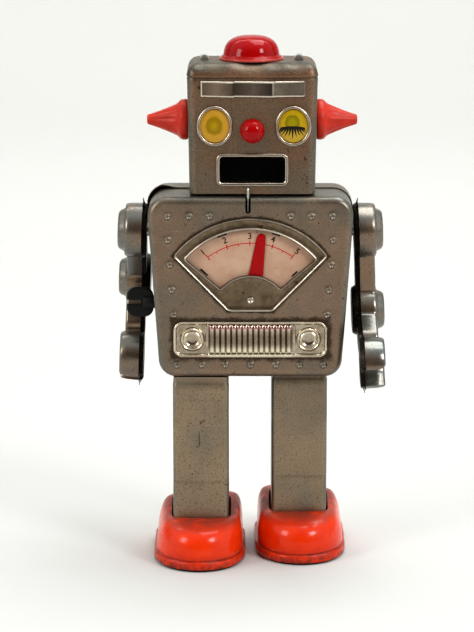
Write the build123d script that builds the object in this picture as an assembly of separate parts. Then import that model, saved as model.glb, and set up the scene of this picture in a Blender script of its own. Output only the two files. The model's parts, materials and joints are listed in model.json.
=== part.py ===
from build123d import *

import os
from math import atan2, cos, degrees, pi, radians, sin

# Clockwork tin robot, 241 mm tall, in millimetres.
# Origin on the floor under the middle of the robot, +Z up, the face looks along -Y,
# +X is the robot's own left. The trunk is centred on the origin in plan.

# ---------------------------------------------------------------- driving dimensions
HEIGHT = 241.0              # floor to the top of the red dome
SHEET = 0.5                 # tinplate of the pressed shells
SLIP = 0.05                 # gap of a fitted or running joint

# trunk
TRUNK_TOP = 170.0
TRUNK_BOTTOM = 87.0
TRUNK_TOP_HALF = 47.1       # half width at the top corners, before rounding
TRUNK_BOTTOM_HALF = 41.2
TRUNK_TOP_RADIUS = 8.5
TRUNK_BOTTOM_RADIUS = 8.0
TRUNK_HALF_DEPTH = 21.0
TRUNK_EDGE = 3.0            # rounding of the front and rear edges
FRONT_SHELL_END = 8.0       # y where the front shell's walls stop
BACK_SHELL_START = 5.0      # the back shell laps over the front shell
BACK_LAP = 0.5              # how far the back shell stands outside the front one

# head
HEAD_X = 0.8                # the head sits a little off the trunk's centre line
HEAD_BOTTOM = 171.2
HEAD_SEAM = 224.0
HEAD_TOP = 230.0
HEAD_TOP_HALF = 29.35
HEAD_BOTTOM_HALF = 28.35
HEAD_FRONT = -18.5
HEAD_BACK = 20.0
HEAD_CORNER = 3.7
NECK_Y = 15.0               # nod axis, along X
NECK_Z = 177.0

# dial on the chest
DIAL_Z = 116.7              # centre of all its arcs and of the needle's pivot
BEZEL_RADIUS = 44.1
BEZEL_CORNER = (35.3, 143.2)
BEZEL_FOOT = (10.2, 117.6)
WINDOW_RADIUS = 38.5
COVER_RADIUS = 17.9
WINDOW_HALF_ANGLE = 49.3
NEEDLE_ANGLE = 8.0
NEEDLE_TIP = 36.9

# grille plate under the dial
GRILLE_Z = 104.85
GRILLE_WIDTH = 70.3
GRILLE_HEIGHT = 16.8

# legs and boots
LEG_X = 22.65
LEG_HALF_WIDTH = 12.8
LEG_FRONT = -14.0
LEG_BACK = 13.0
LEG_TOP = 86.3
STEP = 5.5                  # crank throw: each foot stands this far from mid stride
BOOT_X = 23.4
BOOT_HALF_WIDTH = 21.2
BOOT_TOE = -34.5
BOOT_HEEL = 36.6
ROLLER_RADIUS = 4.5

# clockwork, all arbors along X
ARBOR_Z = 118.0             # winding arbor
CRANK_Z = 98.0              # crankshaft
PLATE_X = 22.0              # inner face of each motor plate
PLATE_THICKNESS = 1.0
MODULE_SLOW = 0.8
MODULE_FAST = 0.6
GREAT_TEETH = 40
CRANK_PINION_TEETH = 10
CRANK_WHEEL_TEETH = 32
STAR_PINION_TEETH = 8
STAR_Y = 11.5
STAR_Z = CRANK_Z + 3.43     # 12 mm from the crankshaft

# arms
SHOULDER_Z = 151.5
SHOULDER_X = 49.6           # where the shoulder axis crosses the arm's flange
ARM_SPLAY = 2.0             # the arms lean outwards by this many degrees
UPPER_ARM = 38.0            # shoulder to elbow
FOREARM = 37.5              # elbow to hand
ARM_BEND = 66.0
ARM_DEPTH = 7.0             # outer half shell, without its discs and bosses
SHOULDER_DISC = 12.6
ELBOW_DISC = 11.8
HAND_DISC = 11.8
LEFT_ARM_BACK = 4.0         # upper arm, degrees behind straight down
RIGHT_ARM_BACK = 44.5

# ---------------------------------------------------------------- places that fit together
WIRE_X = -1.15
WIRE_RADIUS = 0.6
WIRE_TOP = 173.9
RIVET_Z = 123.1
NECK_PIN = 1.5
EAR_STEM = 2.0
EAR_Z = 202.6
DOME_X = 0.4
EYE_PLACES = (-16.1, 19.1)
EYE_Z = 202.0
EYE_RING = (16.3, 18.5)
EYE_LENS = (13.2, 14.9)
NOSE_X = 0.8
NOSE_Z = 199.7
MOUTH_X = 0.8
MOUTH_Z = 182.2
MOUTH_OUTER = (32.6, 15.0)
MOUTH_HOLE = (28.8, 11.4)
ARBOR_RADIUS = 2.5
CRANK_RADIUS = 2.0
CRANK_PIN = 1.5
STAR_RADIUS = 0.9
STAR_TIP = 5.5
PALLET_RADIUS = 0.8
PALLET_PLACE = (15.0, 108.9)
LEVER_RADIUS = 1.5
LEVER_PLACE = (6.0, 150.0)
LEVER_TIP = (-13.0, 159.0)
LEVER_X = 0.4
PILLAR_PLACES = ((-14.0, 91.5), (14.0, 91.5), (-10.5, 150.0), (10.5, 142.0))
GUIDE_Z = 111.0
SPRING_X = (-14.0, -3.0)
KEY_ROOT = 49.0
HANGER_X = 31.0
HANGER_THICKNESS = 1.2
HANGER_HALF = 6.0
LEG_FOOT = 4.0
LEG_CORNER = 2.2
BOOT_RIM = 1.0
ROLLER_PLACES = (-20.0, 20.0)
AXLE_RADIUS = 1.0
SHOULDER_PIN = 2.5


# ---------------------------------------------------------------- helpers
def block(x0, x1, y0, y1, z0, z1):
    """A box between two corners."""
    centre = Pos((x0 + x1) / 2, (y0 + y1) / 2, (z0 + z1) / 2)
    return centre * Box(x1 - x0, y1 - y0, z1 - z0)


def rod_x(x0, x1, y, z, radius):
    """A round bar along X."""
    return Pos((x0 + x1) / 2, y, z) * Rot(0, 90, 0) * Cylinder(radius, abs(x1 - x0))


def rod_y(x, z, y0, y1, radius):
    """A round bar along Y."""
    return Pos(x, (y0 + y1) / 2, z) * Rot(90, 0, 0) * Cylinder(radius, abs(y1 - y0))


def front_prism(face, y_front, y_back):
    """A face drawn in x and z, given thickness between two depths."""
    return extrude(Plane.XZ.offset(-y_back) * face, y_back - y_front)


def side_prism(face, x0, x1):
    """A face drawn in y and z, given thickness between two x."""
    return extrude(Plane.YZ.offset(x0) * face, x1 - x0)


def flat_prism(face, z0, z1):
    """A face drawn in x and y, given thickness between two heights."""
    return extrude(Plane.XY.offset(z0) * face, z1 - z0)


def mirror_x(shape):
    """The same piece for the robot's other side."""
    return mirror(shape, about=Plane.YZ)


def ring_face(outline, width):
    """The band of a given width just inside an outline."""
    return outline - offset(outline, -width)


# ---------------------------------------------------------------- trunk
def trunk_outline(grow=0.0):
    """Front view of the trunk: narrower at the foot, with round corners."""
    outline = Polygon(
        (-TRUNK_TOP_HALF, TRUNK_TOP),
        (-TRUNK_BOTTOM_HALF, TRUNK_BOTTOM),
        (TRUNK_BOTTOM_HALF, TRUNK_BOTTOM),
        (TRUNK_TOP_HALF, TRUNK_TOP),
        align=None,
    )
    outline = fillet(outline.vertices().group_by(Axis.Y)[-1], TRUNK_TOP_RADIUS)
    outline = fillet(outline.vertices().group_by(Axis.Y)[0], TRUNK_BOTTOM_RADIUS)
    if grow:
        outline = offset(outline, grow)
    return outline


def trunk_pan(grow, y_face, y_open):
    """A pan with its closed face at y_face and its mouth at y_open."""
    front = y_face < y_open
    lip = 1.0 if front else -1.0
    outer = front_prism(trunk_outline(grow), min(y_face, y_open), max(y_face, y_open))
    inner_face = y_face + SHEET * lip
    inner_open = y_open + lip
    inner = front_prism(
        trunk_outline(grow - SHEET), min(inner_face, inner_open), max(inner_face, inner_open)
    )
    pick = 0 if front else -1
    outer = fillet(outer.edges().group_by(Axis.Y)[pick], TRUNK_EDGE)
    inner = fillet(inner.edges().group_by(Axis.Y)[pick], TRUNK_EDGE - SHEET)
    return outer - inner


def rivet_places():
    """Centres of the embossed rivets on the chest, as x and z."""
    top = [(x, 161.2) for x in (-37.4, -27.8, -18.4, 18.2, 27.6, 37.2)]
    sides = [
        (side * (37.3 - 0.075 * drop), 150.4 - drop)
        for side in (-1, 1)
        for drop in (0.0, 11.4, 23.0, 34.4)
    ]
    foot = [(x, 92.8) for x in (-33.2, -22.0, -11.3, 0.0, 11.6, 22.4, 33.2)]
    return top + sides + foot


def embossed_rivet(x, z):
    """A low ring with a dimple in its middle, raised from the chest."""
    radius = 1.55
    height = 0.55
    bump = rod_y(x, z, -TRUNK_HALF_DEPTH - height, -TRUNK_HALF_DEPTH + 0.2, radius)
    bump = fillet(bump.edges().group_by(Axis.Y)[0], 0.4)
    dimple = Pos(x, -TRUNK_HALF_DEPTH - height - 0.3, z) * Sphere(0.8)
    return bump - dimple


def trunk_front_shell():
    shell = trunk_pan(0.0, -TRUNK_HALF_DEPTH, FRONT_SHELL_END)
    for x, z in rivet_places():
        shell += embossed_rivet(x, z)
    shell -= front_prism(dial_opening(), -TRUNK_HALF_DEPTH - 1, -TRUNK_HALF_DEPTH + 1)
    shell -= block(WIRE_X - 1.2, WIRE_X + 1.2, -25, -15.5, 162.6, 175)
    shell -= hanger_slots()
    shell -= shoulder_bores()
    shell -= rod_x(-50, -35, 0, ARBOR_Z, ARBOR_RADIUS + 0.5)
    return shell


def trunk_back_shell():
    shell = trunk_pan(BACK_LAP + SLIP, TRUNK_HALF_DEPTH, BACK_SHELL_START)
    return shell - hanger_slots()


def hanger_slots():
    """Slots in the trunk's floor that the leg hangers slide in."""
    reach = HANGER_HALF + STEP + 0.5
    slot = block(HANGER_X - 0.6, HANGER_X + HANGER_THICKNESS + 0.6, -reach, reach, 80, 92)
    return slot + mirror_x(slot)


def shoulder_bores():
    bore = shoulder_place(1) * rod_x(-12, 2, 0, 0, SHOULDER_PIN + SLIP)
    return bore + mirror_x(bore)


# ---------------------------------------------------------------- dial
def dial_point(radius, angle):
    """A point on the dial, with the angle from straight up towards +X."""
    return (radius * sin(radians(angle)), DIAL_Z + radius * cos(radians(angle)))


def bezel_outline():
    """Fan with a round top and a short flat foot."""
    x, z = BEZEL_CORNER
    foot_x, foot_z = BEZEL_FOOT
    arc = ThreePointArc((x, z), (0, DIAL_Z + BEZEL_RADIUS), (-x, z))
    rest = Polyline((-x, z), (-foot_x, foot_z), (foot_x, foot_z), (x, z))
    return fillet(make_face(Wire([arc, *rest.edges()])).vertices(), 1.6)


def window_outline(grow=0.0):
    """The fan-shaped window between the scale's arc and the pivot cover's arc."""
    angle = WINDOW_HALF_ANGLE
    upper = [dial_point(WINDOW_RADIUS, turn) for turn in (angle, 0, -angle)]
    lower = [dial_point(COVER_RADIUS, turn) for turn in (-angle, 0, angle)]
    left = Line(upper[2], lower[0])
    right = Line(lower[2], upper[0])
    outline = make_face(Wire([ThreePointArc(*upper), left, ThreePointArc(*lower), right]))
    return offset(outline, grow) if grow else outline


def dial_opening():
    """Hole in the chest behind the bezel. The needle's pivot is behind the wall below it."""
    return offset(bezel_outline(), -3.0)


def dial_bezel():
    y = -TRUNK_HALF_DEPTH
    plate = bezel_outline() - window_outline()
    bezel = front_prism(plate, y - 0.6, y)
    bezel += front_prism(ring_face(bezel_outline(), 1.0), y - 1.3, y - 0.5)
    bezel += front_prism(window_outline(1.0) - window_outline(), y - 1.2, y - 0.5)
    return bezel - rod_y(0, RIVET_Z, y - 3, y + 1, 1.0 + SLIP)


def dial_rivet():
    """The bright rivet that holds the pivot cover."""
    y = -TRUNK_HALF_DEPTH
    head = rod_y(0, RIVET_Z, y - 1.5, y - 0.6, 1.6)
    head = fillet(head.edges().group_by(Axis.Y)[0], 0.6)
    return head + rod_y(0, RIVET_Z, y - 0.7, y + 0.4, 1.0)


def dial_card():
    """The printed card behind the window."""
    face = bezel_outline() + Pos(0, DIAL_Z) * Rectangle(16, 8)
    return front_prism(face, -19.5, -19.0) - rod_y(0, DIAL_Z, -22, -18, 1.0 + SLIP)


def needle_pivot():
    """Headed pin through the card that the needle turns on."""
    pin = rod_y(0, DIAL_Z, -20.4, -18.0, 1.0)
    pin += rod_y(0, DIAL_Z, -20.47, -20.33, 1.8)
    return pin + rod_y(0, DIAL_Z, -18.95, -18.0, 2.2)


def needle():
    """Tapered pointer with a round tip, on a small hub."""
    tip_centre = NEEDLE_TIP - 2.0
    blade = Polygon((4.6, 0), (2.0, tip_centre), (-2.0, tip_centre), (-4.6, 0), align=None)
    face = blade + Pos(0, tip_centre) * Circle(2.0) + Circle(4.6)
    face -= Circle(1.0 + SLIP)
    face = Pos(0, DIAL_Z) * Rot(0, 0, -NEEDLE_ANGLE) * face
    return front_prism(face, -20.3, -19.9)


# ---------------------------------------------------------------- grille plate
def grille_plate():
    """One pressing: a rim, fifteen upright ribs and a round dished knob at each end."""
    y = -TRUNK_HALF_DEPTH
    ribs = 15
    pitch = 2.5
    outline = Pos(0, GRILLE_Z) * RectangleRounded(GRILLE_WIDTH, GRILLE_HEIGHT, 4.4)
    plate = front_prism(outline, y - 0.7, y)
    plate += front_prism(ring_face(outline, 1.1), y - 1.6, y - 0.6)
    for index in range(ribs):
        x = (index - (ribs - 1) / 2) * pitch
        plate += block(x - 0.7, x + 0.7, y - 1.5, y - 0.6, GRILLE_Z - 6.6, GRILLE_Z + 6.6)
    for side in (-1, 1):
        x = side * 26.4
        plate += block(side * 18.9 - 0.4, side * 18.9 + 0.4, y - 1.3, y - 0.6, GRILLE_Z - 7, GRILLE_Z + 7)
        plate += rod_y(x, GRILLE_Z, y - 2.0, y - 0.6, 5.0)
        plate -= rod_y(x, GRILLE_Z, y - 2.5, y - 1.1, 3.6)
    return plate


# ---------------------------------------------------------------- head
def head_block(half_bottom, half_top, y0, y1, z0, z1, corner):
    """An upright box that widens a little towards the top, with round upright edges."""
    face = Polygon(
        (HEAD_X - half_bottom, z0),
        (HEAD_X + half_bottom, z0),
        (HEAD_X + half_top, z1),
        (HEAD_X - half_top, z1),
        align=None,
    )
    body = front_prism(face, y0, y1)
    upright = [edge for edge in body.edges() if abs(edge.bounding_box().size.Z) > (z1 - z0) * 0.9]
    return fillet(upright, corner)


def oval(width, height):
    return Ellipse(width / 2, height / 2)


def head_shell():
    outer = head_block(
        HEAD_BOTTOM_HALF, HEAD_TOP_HALF, HEAD_FRONT, HEAD_BACK, HEAD_BOTTOM, HEAD_SEAM, HEAD_CORNER
    )
    inner = head_block(
        HEAD_BOTTOM_HALF - SHEET,
        HEAD_TOP_HALF - SHEET,
        HEAD_FRONT + SHEET,
        HEAD_BACK - SHEET,
        HEAD_BOTTOM,
        HEAD_SEAM,
        HEAD_CORNER - SHEET,
    )
    shell = outer - inner
    for x in EYE_PLACES:
        hole = Pos(x, EYE_Z) * oval(EYE_LENS[0] + 0.2, EYE_LENS[1] + 0.2)
        shell -= front_prism(hole, HEAD_FRONT - 1, HEAD_FRONT + 2)
    shell -= rod_y(NOSE_X, NOSE_Z, HEAD_FRONT - 1, HEAD_FRONT + 2, 1.5 + SLIP)
    mouth = Pos(MOUTH_X, MOUTH_Z) * Rectangle(MOUTH_HOLE[0] + 1.6, MOUTH_HOLE[1] + 1.6)
    shell -= front_prism(mouth, HEAD_FRONT - 1, HEAD_FRONT + 2)
    shell -= rod_y(WIRE_X, WIRE_TOP, HEAD_FRONT - 1, HEAD_FRONT + 2, WIRE_RADIUS + SLIP)
    for side in (-1, 1):
        shell -= ear_place(side) * rod_x(-3, 1, 0, 0, EAR_STEM + SLIP)
        shell -= rod_x(HEAD_X + side * 26, HEAD_X + side * 31, NECK_Y, NECK_Z, NECK_PIN + SLIP)
    return shell


def head_lid():
    """Shallow cap with rounded shoulders that drops over the head."""
    half = HEAD_TOP_HALF + 0.15
    depth = 0.15

    def cap(inset, z0):
        body = block(
            HEAD_X - half + inset,
            HEAD_X + half - inset,
            HEAD_FRONT - depth + inset,
            HEAD_BACK + depth - inset,
            z0,
            HEAD_TOP - inset,
        )
        body = fillet(body.edges().filter_by(Axis.Z), HEAD_CORNER - inset)
        return fillet(body.faces().sort_by(Axis.Z)[-1].edges(), 4.2 - inset)

    return cap(0.0, HEAD_SEAM) - cap(SHEET, HEAD_SEAM - 1)


def lid_tabs():
    """Two folded tabs of the lamp strap, showing through the lid."""
    tabs = None
    for x in (-20.8, 21.9):
        tab = block(x - 1.5, x + 1.5, -3.0, 3.0, HEAD_TOP, HEAD_TOP + 2.4)
        tab = fillet(tab.edges().filter_by(Axis.Y).group_by(Axis.Z)[-1], 0.9)
        tabs = tab if tabs is None else tabs + tab
    return tabs


def head_dome():
    """Red lamp cap: a thin flange and a flattened dome, hollow."""
    base = HEAD_TOP
    rise = HEIGHT - base
    wall = 1.0
    flange = Pos(DOME_X, 0, base + 0.5) * Cylinder(14.6, 1.0)
    flange += Pos(DOME_X, 0, base + 0.95) * Cylinder(13.7, 1.9)

    def shell(radius, top):
        body = Pos(DOME_X, 0, (base + top) / 2) * Cylinder(radius, top - base)
        return fillet(body.edges().group_by(Axis.Z)[-1], min(top - base, radius) * 0.78)

    dome = flange + shell(12.75, base + rise)
    return dome - shell(12.75 - wall, base + rise - wall)


def ear_place(side):
    """Plane on the head's side wall: local +X points out of the wall."""
    lean = degrees(atan2(HEAD_TOP_HALF - HEAD_BOTTOM_HALF, HEAD_SEAM - HEAD_BOTTOM))
    share = (EAR_Z - HEAD_BOTTOM) / (HEAD_SEAM - HEAD_BOTTOM)
    half = HEAD_BOTTOM_HALF + share * (HEAD_TOP_HALF - HEAD_BOTTOM_HALF)
    return Pos(HEAD_X + side * half, 0, EAR_Z) * Rot(0, side * lean, 0)


def ear_cone(side):
    """Plastic cone with a round collar at its root and a blunt tip."""
    profile = make_face(
        Wire(
            [
                Line((0, 0), (0, 8.2)),
                ThreePointArc((0, 8.2), (1.8, 9.3), (4.4, 8.4)),
                Line((4.4, 8.4), (18.2, 2.1)),
                ThreePointArc((18.2, 2.1), (18.72, 1.6), (18.9, 1.0)),
                Line((18.9, 1.0), (18.9, 0)),
                Line((18.9, 0), (0, 0)),
            ]
        )
    )
    cone = revolve(profile, Axis.X)
    stem = rod_x(-2.0, 0.2, 0, 0, EAR_STEM)
    if side < 0:
        cone = mirror_x(cone)
        stem = mirror_x(stem)
    return ear_place(side) * (cone + stem)


def eye_bezel(x):
    """Bright oval ring round an eye."""
    face = Pos(x, EYE_Z) * (oval(*EYE_RING) - oval(EYE_LENS[0] + 0.1, EYE_LENS[1] + 0.1))
    ring = front_prism(face, HEAD_FRONT - 1.7, HEAD_FRONT)
    return fillet(ring.edges().group_by(Axis.Y)[0], 0.6)


def eye_lens(x):
    """Picture disc of the eye, held from behind by a wider flange."""
    front = Pos(x, EYE_Z) * oval(*EYE_LENS)
    flange = Pos(x, EYE_Z) * oval(EYE_LENS[0] + 1.3, EYE_LENS[1] + 1.3)
    lens = front_prism(front, HEAD_FRONT - 0.9, HEAD_FRONT + SHEET + 0.2)
    return lens + front_prism(flange, HEAD_FRONT + SHEET + SLIP, HEAD_FRONT + SHEET + 0.9)


def nose_button():
    dome = Pos(NOSE_X, HEAD_FRONT, NOSE_Z) * Sphere(5.6)
    dome &= block(NOSE_X - 8, NOSE_X + 8, HEAD_FRONT - 8, HEAD_FRONT, NOSE_Z - 8, NOSE_Z + 8)
    return dome + rod_y(NOSE_X, NOSE_Z, HEAD_FRONT - 1, HEAD_FRONT + 2.5, 1.5)


def mouth_frame():
    """Bright frame round the mouth, with a lip that passes through the head's wall."""
    outer = Pos(MOUTH_X, MOUTH_Z) * RectangleRounded(*MOUTH_OUTER, 3.0)
    hole = Pos(MOUTH_X, MOUTH_Z) * RectangleRounded(*MOUTH_HOLE, 1.2)
    lip = offset(hole, 0.6)
    frame = front_prism(outer - hole, HEAD_FRONT - 1.3, HEAD_FRONT)
    frame = fillet(frame.edges().group_by(Axis.Y)[0], 0.5)
    return frame + front_prism(lip - hole, HEAD_FRONT - 0.5, HEAD_FRONT + 1.5)


def mouth_liner():
    """Black box behind the mouth, open to the front."""
    width = MOUTH_HOLE[0] + 3.0
    height = MOUTH_HOLE[1] + 2.2
    front = HEAD_FRONT + 1.6
    depth = 9.0
    outer = Pos(MOUTH_X, MOUTH_Z) * Rectangle(width, height)
    inner = Pos(MOUTH_X, MOUTH_Z) * Rectangle(width - 2 * SHEET, height - 2 * SHEET)
    box = front_prism(outer, front, front + depth)
    return box - front_prism(inner, front - 1, front + depth - SHEET)


def forehead_plate():
    """Bright strip across the brow with a raised border."""
    y = HEAD_FRONT
    outline = Pos(1.2, 218.6) * Rectangle(47.3, 7.2)
    plate = front_prism(outline, y - 0.4, y)
    return plate + front_prism(ring_face(outline, 0.8), y - 0.9, y - 0.3)


def nod_wire():
    """Bent wire from the head's front, through the trunk's slot, to the nod lever."""
    low = WIRE_TOP - 13.0
    points = [
        (WIRE_X, HEAD_FRONT + 3.0, WIRE_TOP),
        (WIRE_X, HEAD_FRONT - 1.3, WIRE_TOP),
        (WIRE_X, HEAD_FRONT - 1.3, WIRE_TOP - 4.0),
        (WIRE_X, HEAD_FRONT + 0.4, WIRE_TOP - 7.4),
        (WIRE_X, HEAD_FRONT + 0.4, low),
        (WIRE_X, LEVER_TIP[0], LEVER_TIP[1]),
        (LEVER_X + 3.0, LEVER_TIP[0], LEVER_TIP[1]),
    ]
    path = FilletPolyline(*points, radius=1.0)
    start = Plane(origin=path @ 0, z_dir=path % 0)
    return sweep(start * Circle(WIRE_RADIUS), path=path, transition=Transition.ROUND)


def neck_bracket():
    """Strap on top of the trunk with two ears that carry the head's pin."""
    bracket = block(-9, 9, -8, 4.5, TRUNK_TOP, TRUNK_TOP + 0.8)
    for side in (-1, 1):
        ear = Polygon((-8, 170), (4.5, 170), (4.8, 171.2), (18, 173.4), (18, 181), (9, 181), align=None)
        bracket += side_prism(ear, side * 9.0 - 0.5, side * 9.0 + 0.5)
    return bracket - rod_x(-12, 12, NECK_Y, NECK_Z, NECK_PIN + SLIP)


def neck_pin():
    """Pin across the head, pressed in its side walls, that rocks in the bracket."""
    return rod_x(HEAD_X - 28.3, HEAD_X + 28.3, NECK_Y, NECK_Z, NECK_PIN)


# ---------------------------------------------------------------- clockwork
def gear_face(teeth, module, first_tooth):
    """Spur gear outline about the origin, with thin teeth that leave working clearance.

    first_tooth is the angle in degrees of the middle of one tooth."""
    pitch_radius = teeth * module / 2
    tip = pitch_radius + 0.75 * module
    root = pitch_radius - 1.15 * module
    tooth = 2 * pi / teeth
    half_root = 0.27 * tooth
    half_tip = 0.11 * tooth
    points = []
    for index in range(teeth):
        middle = radians(first_tooth) + index * tooth
        for radius, turn in ((root, -half_root), (tip, -half_tip), (tip, half_tip), (root, half_root)):
            points.append((radius * cos(middle + turn), radius * sin(middle + turn)))
    return Polygon(*points, align=None)


def gear(teeth, module, first_tooth, place, x0, x1, bore):
    """A gear on an arbor along X, with its hub bored."""
    face = Pos(*place) * (gear_face(teeth, module, first_tooth) - Circle(bore))
    return side_prism(face, x0, x1)


def motor_plate(side):
    """Steel side plate with a bearing hole for every arbor."""
    face = Rectangle(33, 68.5)
    face = Pos(0, 87.5 + 68.5 / 2) * fillet(face.vertices(), 3)
    for y, z, radius in (
        (0, ARBOR_Z, ARBOR_RADIUS),
        (0, CRANK_Z, CRANK_RADIUS),
        (STAR_Y, STAR_Z, STAR_RADIUS),
        (*PALLET_PLACE, PALLET_RADIUS),
        (*LEVER_PLACE, LEVER_RADIUS),
    ):
        face -= Pos(y, z) * Circle(radius + SLIP)
    for y, z in PILLAR_PLACES:
        face -= Pos(y, z) * Circle(1.25)
    x0 = PLATE_X if side > 0 else -PLATE_X - PLATE_THICKNESS
    return side_prism(face, x0, x0 + PLATE_THICKNESS)


def motor_pillars():
    """Four shouldered pillars that hold the plates apart."""
    pillars = None
    for y, z in PILLAR_PLACES:
        pillar = rod_x(-PLATE_X, PLATE_X, y, z, 2.0)
        reach = PLATE_X + PLATE_THICKNESS + 0.5
        pillar += rod_x(-reach, reach, y, z, 1.2)
        pillars = pillar if pillars is None else pillars + pillar
    return pillars


def leg_guides():
    """Fixed guide rods that the leg hangers slide on."""
    rod = rod_x(PLATE_X + PLATE_THICKNESS, 35.5, 0, GUIDE_Z, 1.25)
    return rod + mirror_x(rod)


def mainspring():
    """Flat steel strip wound in a spiral round the arbor."""
    turns = 6
    pitch = 1.6
    strip = 0.6
    steps = 12 * turns

    def spiral(radius):
        points = []
        for step in range(steps + 1):
            angle = 2 * pi * step / 12
            reach = radius + pitch * angle / (2 * pi)
            points.append((reach * cos(angle), reach * sin(angle)))
        return Spline(*points)

    inside = spiral(4.6)
    outside = spiral(4.6 + strip)
    ends = [Line(inside @ 0, outside @ 0), Line(inside @ 1, outside @ 1)]
    face = make_face(Wire([inside, outside, *ends]))
    return side_prism(Pos(0, ARBOR_Z) * face, *SPRING_X)


def winding_arbor():
    """Arbor that carries the key and the ratchet wheel."""
    return rod_x(-KEY_ROOT, PLATE_X + 3, 0, ARBOR_Z, ARBOR_RADIUS)


def ratchet_wheel():
    """Saw-toothed wheel fixed on the arbor; it lets the key wind one way."""
    teeth = 16
    points = []
    for index in range(teeth):
        angle = 2 * pi * index / teeth
        points.append((7.0 * cos(angle), 7.0 * sin(angle)))
        points.append((5.6 * cos(angle + 0.06), 5.6 * sin(angle + 0.06)))
    face = Polygon(*points, align=None) - Circle(ARBOR_RADIUS)
    return side_prism(Pos(0, ARBOR_Z) * face, -16.6, -15.4)


def winding_key():
    """Black key: a tube on the arbor and two round wings with a slot between them."""
    x0 = -56.9
    x1 = -44.6
    z_reach = 7.0
    wing = Pos((x0 + x1) / 2, ARBOR_Z) * RectangleRounded(x1 - x0, 2 * z_reach, 4.2)
    slot = Pos(x0 + 4.0, ARBOR_Z) * Rectangle(8.2, 1.6)
    key = front_prism(wing - slot, -0.9, 0.9)
    key += rod_x(-49.5, -43.9, 0, ARBOR_Z, 3.0)
    return key - rod_x(-KEY_ROOT - SLIP, -42, 0, ARBOR_Z, ARBOR_RADIUS)


def great_wheel():
    """Large wheel that the mainspring drives; it is in mesh with the crank pinion below."""
    return gear(GREAT_TEETH, MODULE_SLOW, -90, (0, ARBOR_Z), -19.2, -17.6, ARBOR_RADIUS + SLIP)


def crankshaft():
    """Shaft with its pinion, and a crank disc and pin at each end, half a turn apart."""
    shaft = rod_x(-28, 28, 0, CRANK_Z, CRANK_RADIUS)
    for side in (-1, 1):
        y = side * STEP
        shaft += rod_x(side * 27, side * 29, 0, CRANK_Z, 8.4)
        shaft += rod_x(side * 29, side * 33.6, y, CRANK_Z, CRANK_PIN)
    gap_up = 90 + 180 / CRANK_PINION_TEETH
    pinion = gear(CRANK_PINION_TEETH, MODULE_SLOW, gap_up, (0, CRANK_Z), -20.2, -16.6, 1.0)
    return shaft + pinion


def crank_wheel():
    towards_star = degrees(atan2(STAR_Z - CRANK_Z, STAR_Y))
    return gear(CRANK_WHEEL_TEETH, MODULE_FAST, towards_star, (0, CRANK_Z), 12.0, 13.2, CRANK_RADIUS)


def star_arbor():
    """Thin arbor with its pinion cut on it."""
    arbor = rod_x(-PLATE_X - 0.8, PLATE_X + 0.8, STAR_Y, STAR_Z, STAR_RADIUS)
    towards_crank = degrees(atan2(CRANK_Z - STAR_Z, -STAR_Y)) + 180 / STAR_PINION_TEETH
    place = (STAR_Y, STAR_Z)
    return arbor + gear(STAR_PINION_TEETH, MODULE_FAST, towards_crank, place, 11.0, 14.2, 0.5)


def star_wheel():
    """Pointed escape wheel."""
    teeth = 12
    points = []
    for index in range(teeth):
        angle = 2 * pi * index / teeth
        points.append((STAR_TIP * cos(angle), STAR_TIP * sin(angle)))
        points.append((4.0 * cos(angle + pi / teeth), 4.0 * sin(angle + pi / teeth)))
    face = Polygon(*points, align=None) - Circle(STAR_RADIUS)
    return side_prism(Pos(STAR_Y, STAR_Z) * face, 17.0, 17.8)


def pallet():
    """Rocking pallet weight with two pins beside the star wheel."""
    y, z = PALLET_PLACE
    arm = Pos(y, z) * (Rectangle(9.6, 2.6) + Circle(2.2))
    body = side_prism(arm, 18.4, 19.6)
    body += rod_x(-PLATE_X - 0.8, PLATE_X + 0.8, y, z, PALLET_RADIUS)
    for side in (-1, 1):
        body += rod_x(16.6, 18.5, y + side * 4.0, z, 0.5)
    return body


def nod_lever():
    """Lever on its own shaft; the wire's hooked end slides in the slot at its tip."""
    y, z = LEVER_PLACE
    tip_y, tip_z = LEVER_TIP
    slot_place = Pos(tip_y - 1.7, tip_z - 0.2)
    lean = degrees(atan2(tip_z - z, tip_y - y))
    length = ((tip_y - y) ** 2 + (tip_z - z) ** 2) ** 0.5
    arm = Pos(y, z) * Rot(0, 0, lean) * Pos(length / 2, 0) * Rectangle(length, 3.4)
    tail = Pos(y, z) * Rot(0, 0, -22) * Pos(5.5, 0) * Rectangle(11, 3.0)
    face = arm + tail + Pos(y, z) * Circle(3.0) + slot_place * SlotOverall(7.6, 5.2)
    face -= slot_place * SlotOverall(5.5, 2 * WIRE_RADIUS + 0.9)
    lever = side_prism(face, LEVER_X, LEVER_X + 1.0)
    return lever + rod_x(-PLATE_X - 0.8, PLATE_X + 0.8, y, z, LEVER_RADIUS)


# ---------------------------------------------------------------- legs
def leg_offset(side):
    """Where a leg stands in the stride: the right one forward, the left one back."""
    return Pos(0, side * STEP, 0)


def leg_tube(inset, z0, z1):
    """Solid bar with the leg's section, smaller all round by the inset."""
    half = LEG_HALF_WIDTH - inset
    body = block(LEG_X - half, LEG_X + half, LEG_FRONT + inset, LEG_BACK - inset, z0, z1)
    return fillet(body.edges().filter_by(Axis.Z), LEG_CORNER - inset)


def leg_column(side):
    """Folded rectangular tube, open at both ends."""
    return place_leg(leg_tube(0.0, LEG_FOOT, LEG_TOP) - leg_tube(SHEET, LEG_FOOT, LEG_TOP), side)


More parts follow.
